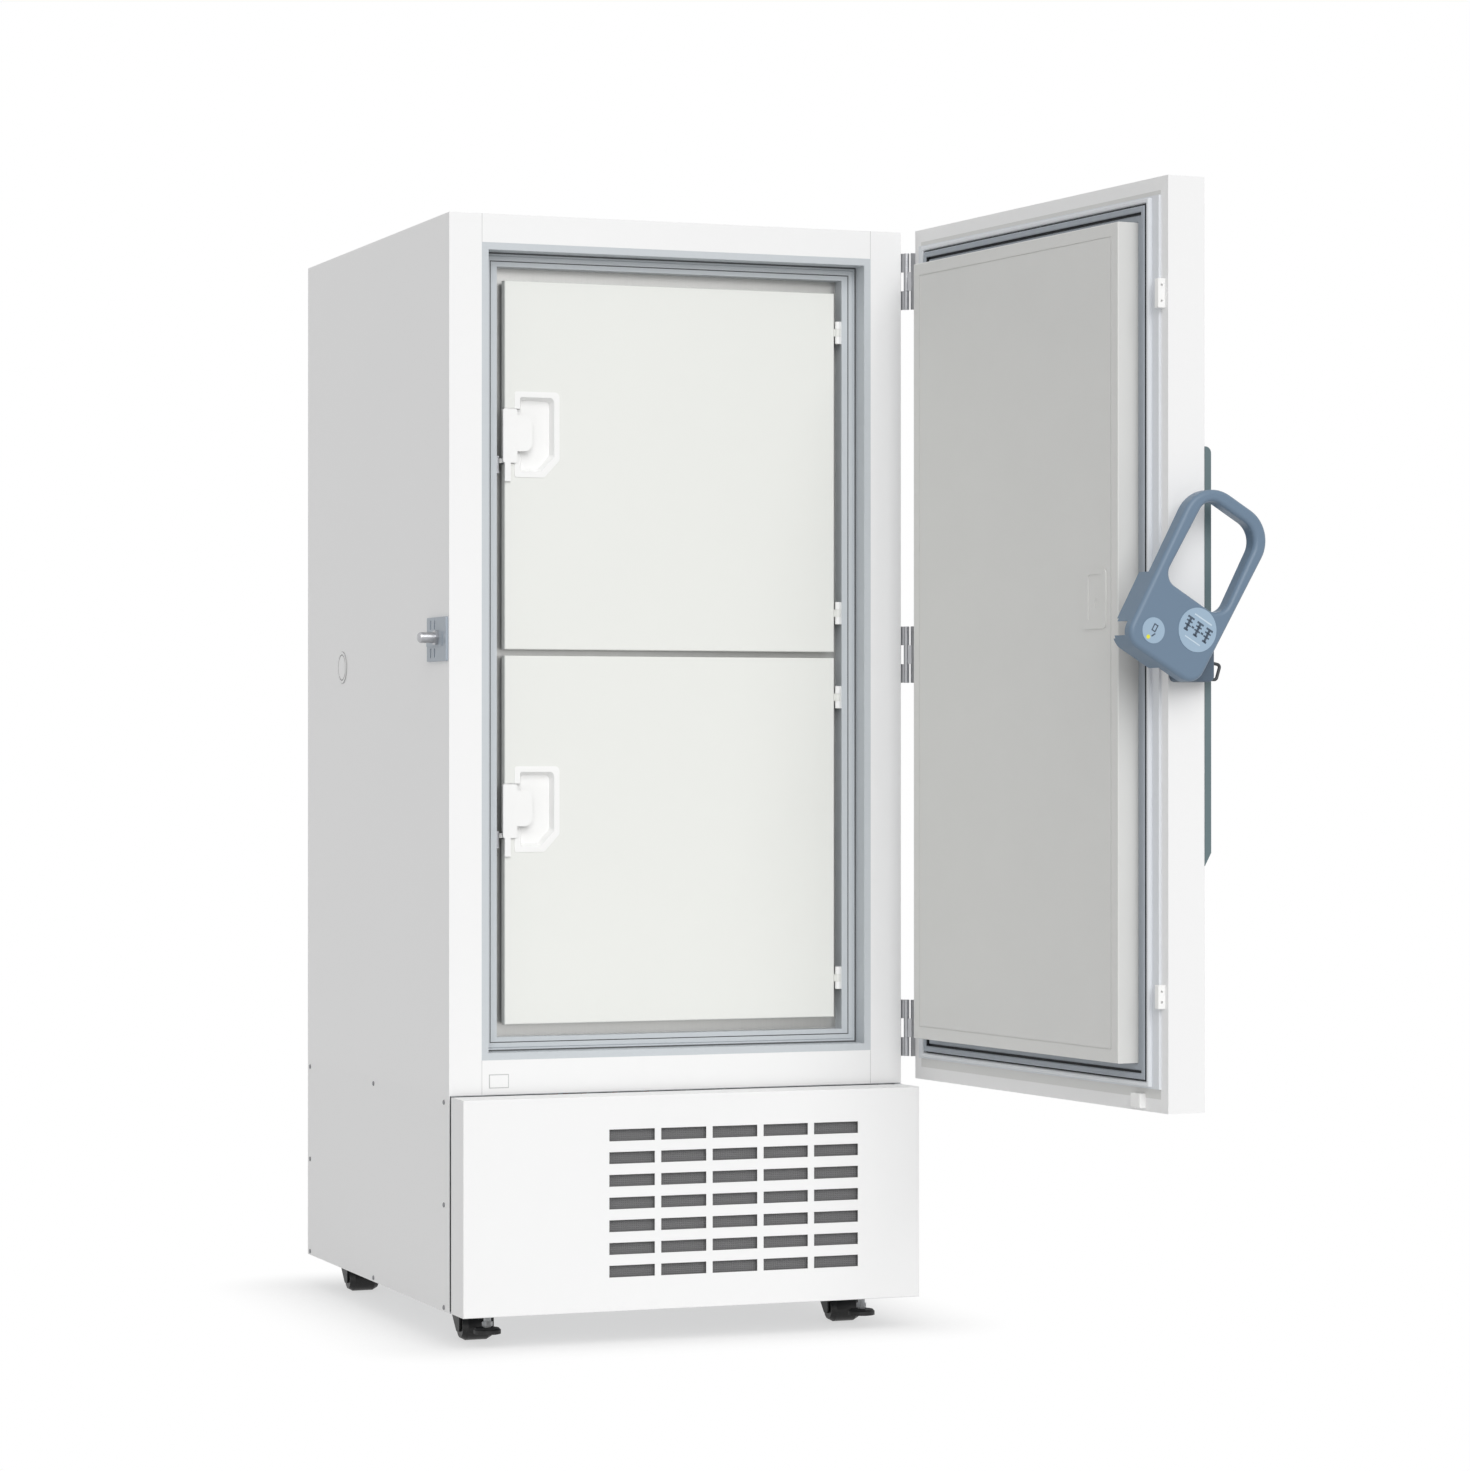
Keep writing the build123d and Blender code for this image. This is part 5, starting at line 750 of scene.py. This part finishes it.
class FREEZER_OT_set_stage(bpy.types.Operator):
    """Set up the pale floor, the soft light and the camera"""

    bl_idname = "freezer.set_stage"
    bl_label = "Set the Stage"

    def execute(self, context):
        studio = context.scene.freezer_studio
        self.light_world(context.scene, studio)
        self.lay_floor(context.scene, studio)
        sun = bpy.data.lights.new("front softlight", "SUN")
        sun.energy = studio.key
        sun.angle = LIGHT_SPREAD
        lamp = bpy.data.objects.new("front softlight", sun)
        lamp.rotation_euler = Vector(LIGHT_AIM).to_track_quat("-Z", "Y").to_euler()
        context.scene.collection.objects.link(lamp)
        lens = bpy.data.cameras.new("photo camera")
        lens.sensor_fit = "HORIZONTAL"
        lens.sensor_width = 36.0
        lens.lens = studio.lens
        lens.clip_end = 100.0
        camera = bpy.data.objects.new("photo camera", lens)
        camera.location = studio.camera
        camera.rotation_euler = (math.pi / 2 + studio.pitch, 0.0, -studio.yaw)
        context.scene.collection.objects.link(camera)
        context.scene.camera = camera
        context.scene.view_settings.view_transform = "Standard"
        return {"FINISHED"}

    def light_world(self, scene, studio):
        """Even light on the object, with pure white for the eye and for reflections."""
        world = bpy.data.worlds.new("studio")
        world.use_nodes = True
        scene.world = world
        tree = world.node_tree
        back = tree.nodes["Background"]
        back.inputs["Color"].default_value = (1.0, 1.0, 1.0, 1.0)
        path = tree.nodes.new("ShaderNodeLightPath")
        seen = self.seen(tree, path)
        level = tree.nodes.new("ShaderNodeMapRange")
        level.inputs["To Min"].default_value = studio.ambient
        level.inputs["To Max"].default_value = 1.0
        tree.links.new(seen, level.inputs["Value"])
        tree.links.new(level.outputs["Result"], back.inputs["Strength"])

    def seen(self, tree, path):
        """1 where a camera, glossy or transmission ray arrives."""
        total = path.outputs["Is Camera Ray"]
        for name in ("Is Glossy Ray", "Is Transmission Ray"):
            add = tree.nodes.new("ShaderNodeMath")
            add.operation = "MAXIMUM"
            tree.links.new(total, add.inputs[0])
            tree.links.new(path.outputs[name], add.inputs[1])
            total = add.outputs[0]
        return total

    def clear_of_object(self, tree):
        """Share of plain white in the floor: least under the freezer, all of it a short way off."""
        place = tree.nodes.new("ShaderNodeTexCoord").outputs["Object"]
        steps = (("SUBTRACT", FOOTPRINT_MIDDLE), ("ABSOLUTE", None), ("SUBTRACT", FOOTPRINT_HALF),
                 ("MAXIMUM", (0.0, 0.0, 0.0)))
        for operation, other in steps:
            step = tree.nodes.new("ShaderNodeVectorMath")
            step.operation = operation
            tree.links.new(place, step.inputs[0])
            if other is not None:
                step.inputs[1].default_value = other
            place = step.outputs["Vector"]
        away = tree.nodes.new("ShaderNodeVectorMath")
        away.operation = "LENGTH"
        tree.links.new(place, away.inputs[0])
        fade = tree.nodes.new("ShaderNodeMapRange")
        fade.interpolation_type = "SMOOTHSTEP"
        fade.inputs["From Max"].default_value = SHADOW_FADE
        fade.inputs["To Min"].default_value = WHITE_UNDER_OBJECT
        tree.links.new(away.outputs["Value"], fade.inputs["Value"])
        return fade.outputs["Result"]

    def lay_floor(self, scene, studio):
        """White floor that keeps the object's soft shadow."""
        plane = bmesh.new()
        bmesh.ops.create_grid(plane, x_segments=1, y_segments=1, size=studio.floor_size / 2)
        mesh = bpy.data.meshes.new("studio_floor")
        plane.to_mesh(mesh)
        plane.free()
        floor = bpy.data.objects.new("studio_floor", mesh)
        scene.collection.objects.link(floor)
        material = bpy.data.materials.new("studio white")
        material.use_nodes = True
        tree = material.node_tree
        paper = tree.nodes["Principled BSDF"]
        paper.inputs["Base Color"].default_value = (FLOOR_PAPER, FLOOR_PAPER, FLOOR_PAPER, 1.0)
        paper.inputs["Roughness"].default_value = 0.9
        paper.inputs["Specular IOR Level"].default_value = 0.0
        glow = tree.nodes.new("ShaderNodeEmission")
        glow.inputs["Strength"].default_value = 1.0
        mix = tree.nodes.new("ShaderNodeMixShader")
        path = tree.nodes.new("ShaderNodeLightPath")
        share = tree.nodes.new("ShaderNodeMath")
        share.operation = "MULTIPLY"
        tree.links.new(self.clear_of_object(tree), share.inputs[1])
        tree.links.new(self.seen(tree, path), share.inputs[0])
        tree.links.new(share.outputs[0], mix.inputs["Fac"])
        tree.links.new(paper.outputs["BSDF"], mix.inputs[1])
        tree.links.new(glow.outputs["Emission"], mix.inputs[2])
        tree.links.new(mix.outputs["Shader"], tree.nodes["Material Output"].inputs["Surface"])
        mesh.materials.append(material)


class FREEZER_PT_dressing(bpy.types.Panel):
    """Shows the settings and the buttons that dress the freezer"""

    bl_label = "Freezer"
    bl_idname = "FREEZER_PT_dressing"
    bl_space_type = "VIEW_3D"
    bl_region_type = "UI"
    bl_category = "Freezer"

    def draw(self, context):
        scene = context.scene
        for group in (scene.freezer_colours, scene.freezer_labels, scene.freezer_studio):
            box = self.layout.box()
            for name in group.bl_rna.properties.keys():
                if name not in ("rna_type", "name"):
                    box.prop(group, name)
        for operator in OPERATORS:
            self.layout.operator(operator.bl_idname)


GROUPS = (FreezerColours, StudioSettings, HandleLabels)
OPERATORS = (FREEZER_OT_paint_parts, FREEZER_OT_label_handle, FREEZER_OT_fit_screws, FREEZER_OT_fit_display,
             FREEZER_OT_set_stage)


def register():
    """Registers the settings, operators and panel."""
    for group in (*GROUPS, *OPERATORS, FREEZER_PT_dressing):
        bpy.utils.register_class(group)
    bpy.types.Scene.freezer_colours = bpy.props.PointerProperty(type=FreezerColours)
    bpy.types.Scene.freezer_studio = bpy.props.PointerProperty(type=StudioSettings)
    bpy.types.Scene.freezer_labels = bpy.props.PointerProperty(type=HandleLabels)


def unregister():
    """Takes them away again."""
    del bpy.types.Scene.freezer_labels
    del bpy.types.Scene.freezer_studio
    del bpy.types.Scene.freezer_colours
    for group in reversed((*GROUPS, *OPERATORS, FREEZER_PT_dressing)):
        bpy.utils.unregister_class(group)


def main():
    """Dresses the freezer and sets the stage."""
    register()
    for operator in OPERATORS:
        category, name = operator.bl_idname.split(".")
        getattr(getattr(bpy.ops, category), name)()


if __name__ == "__main__":
    main()
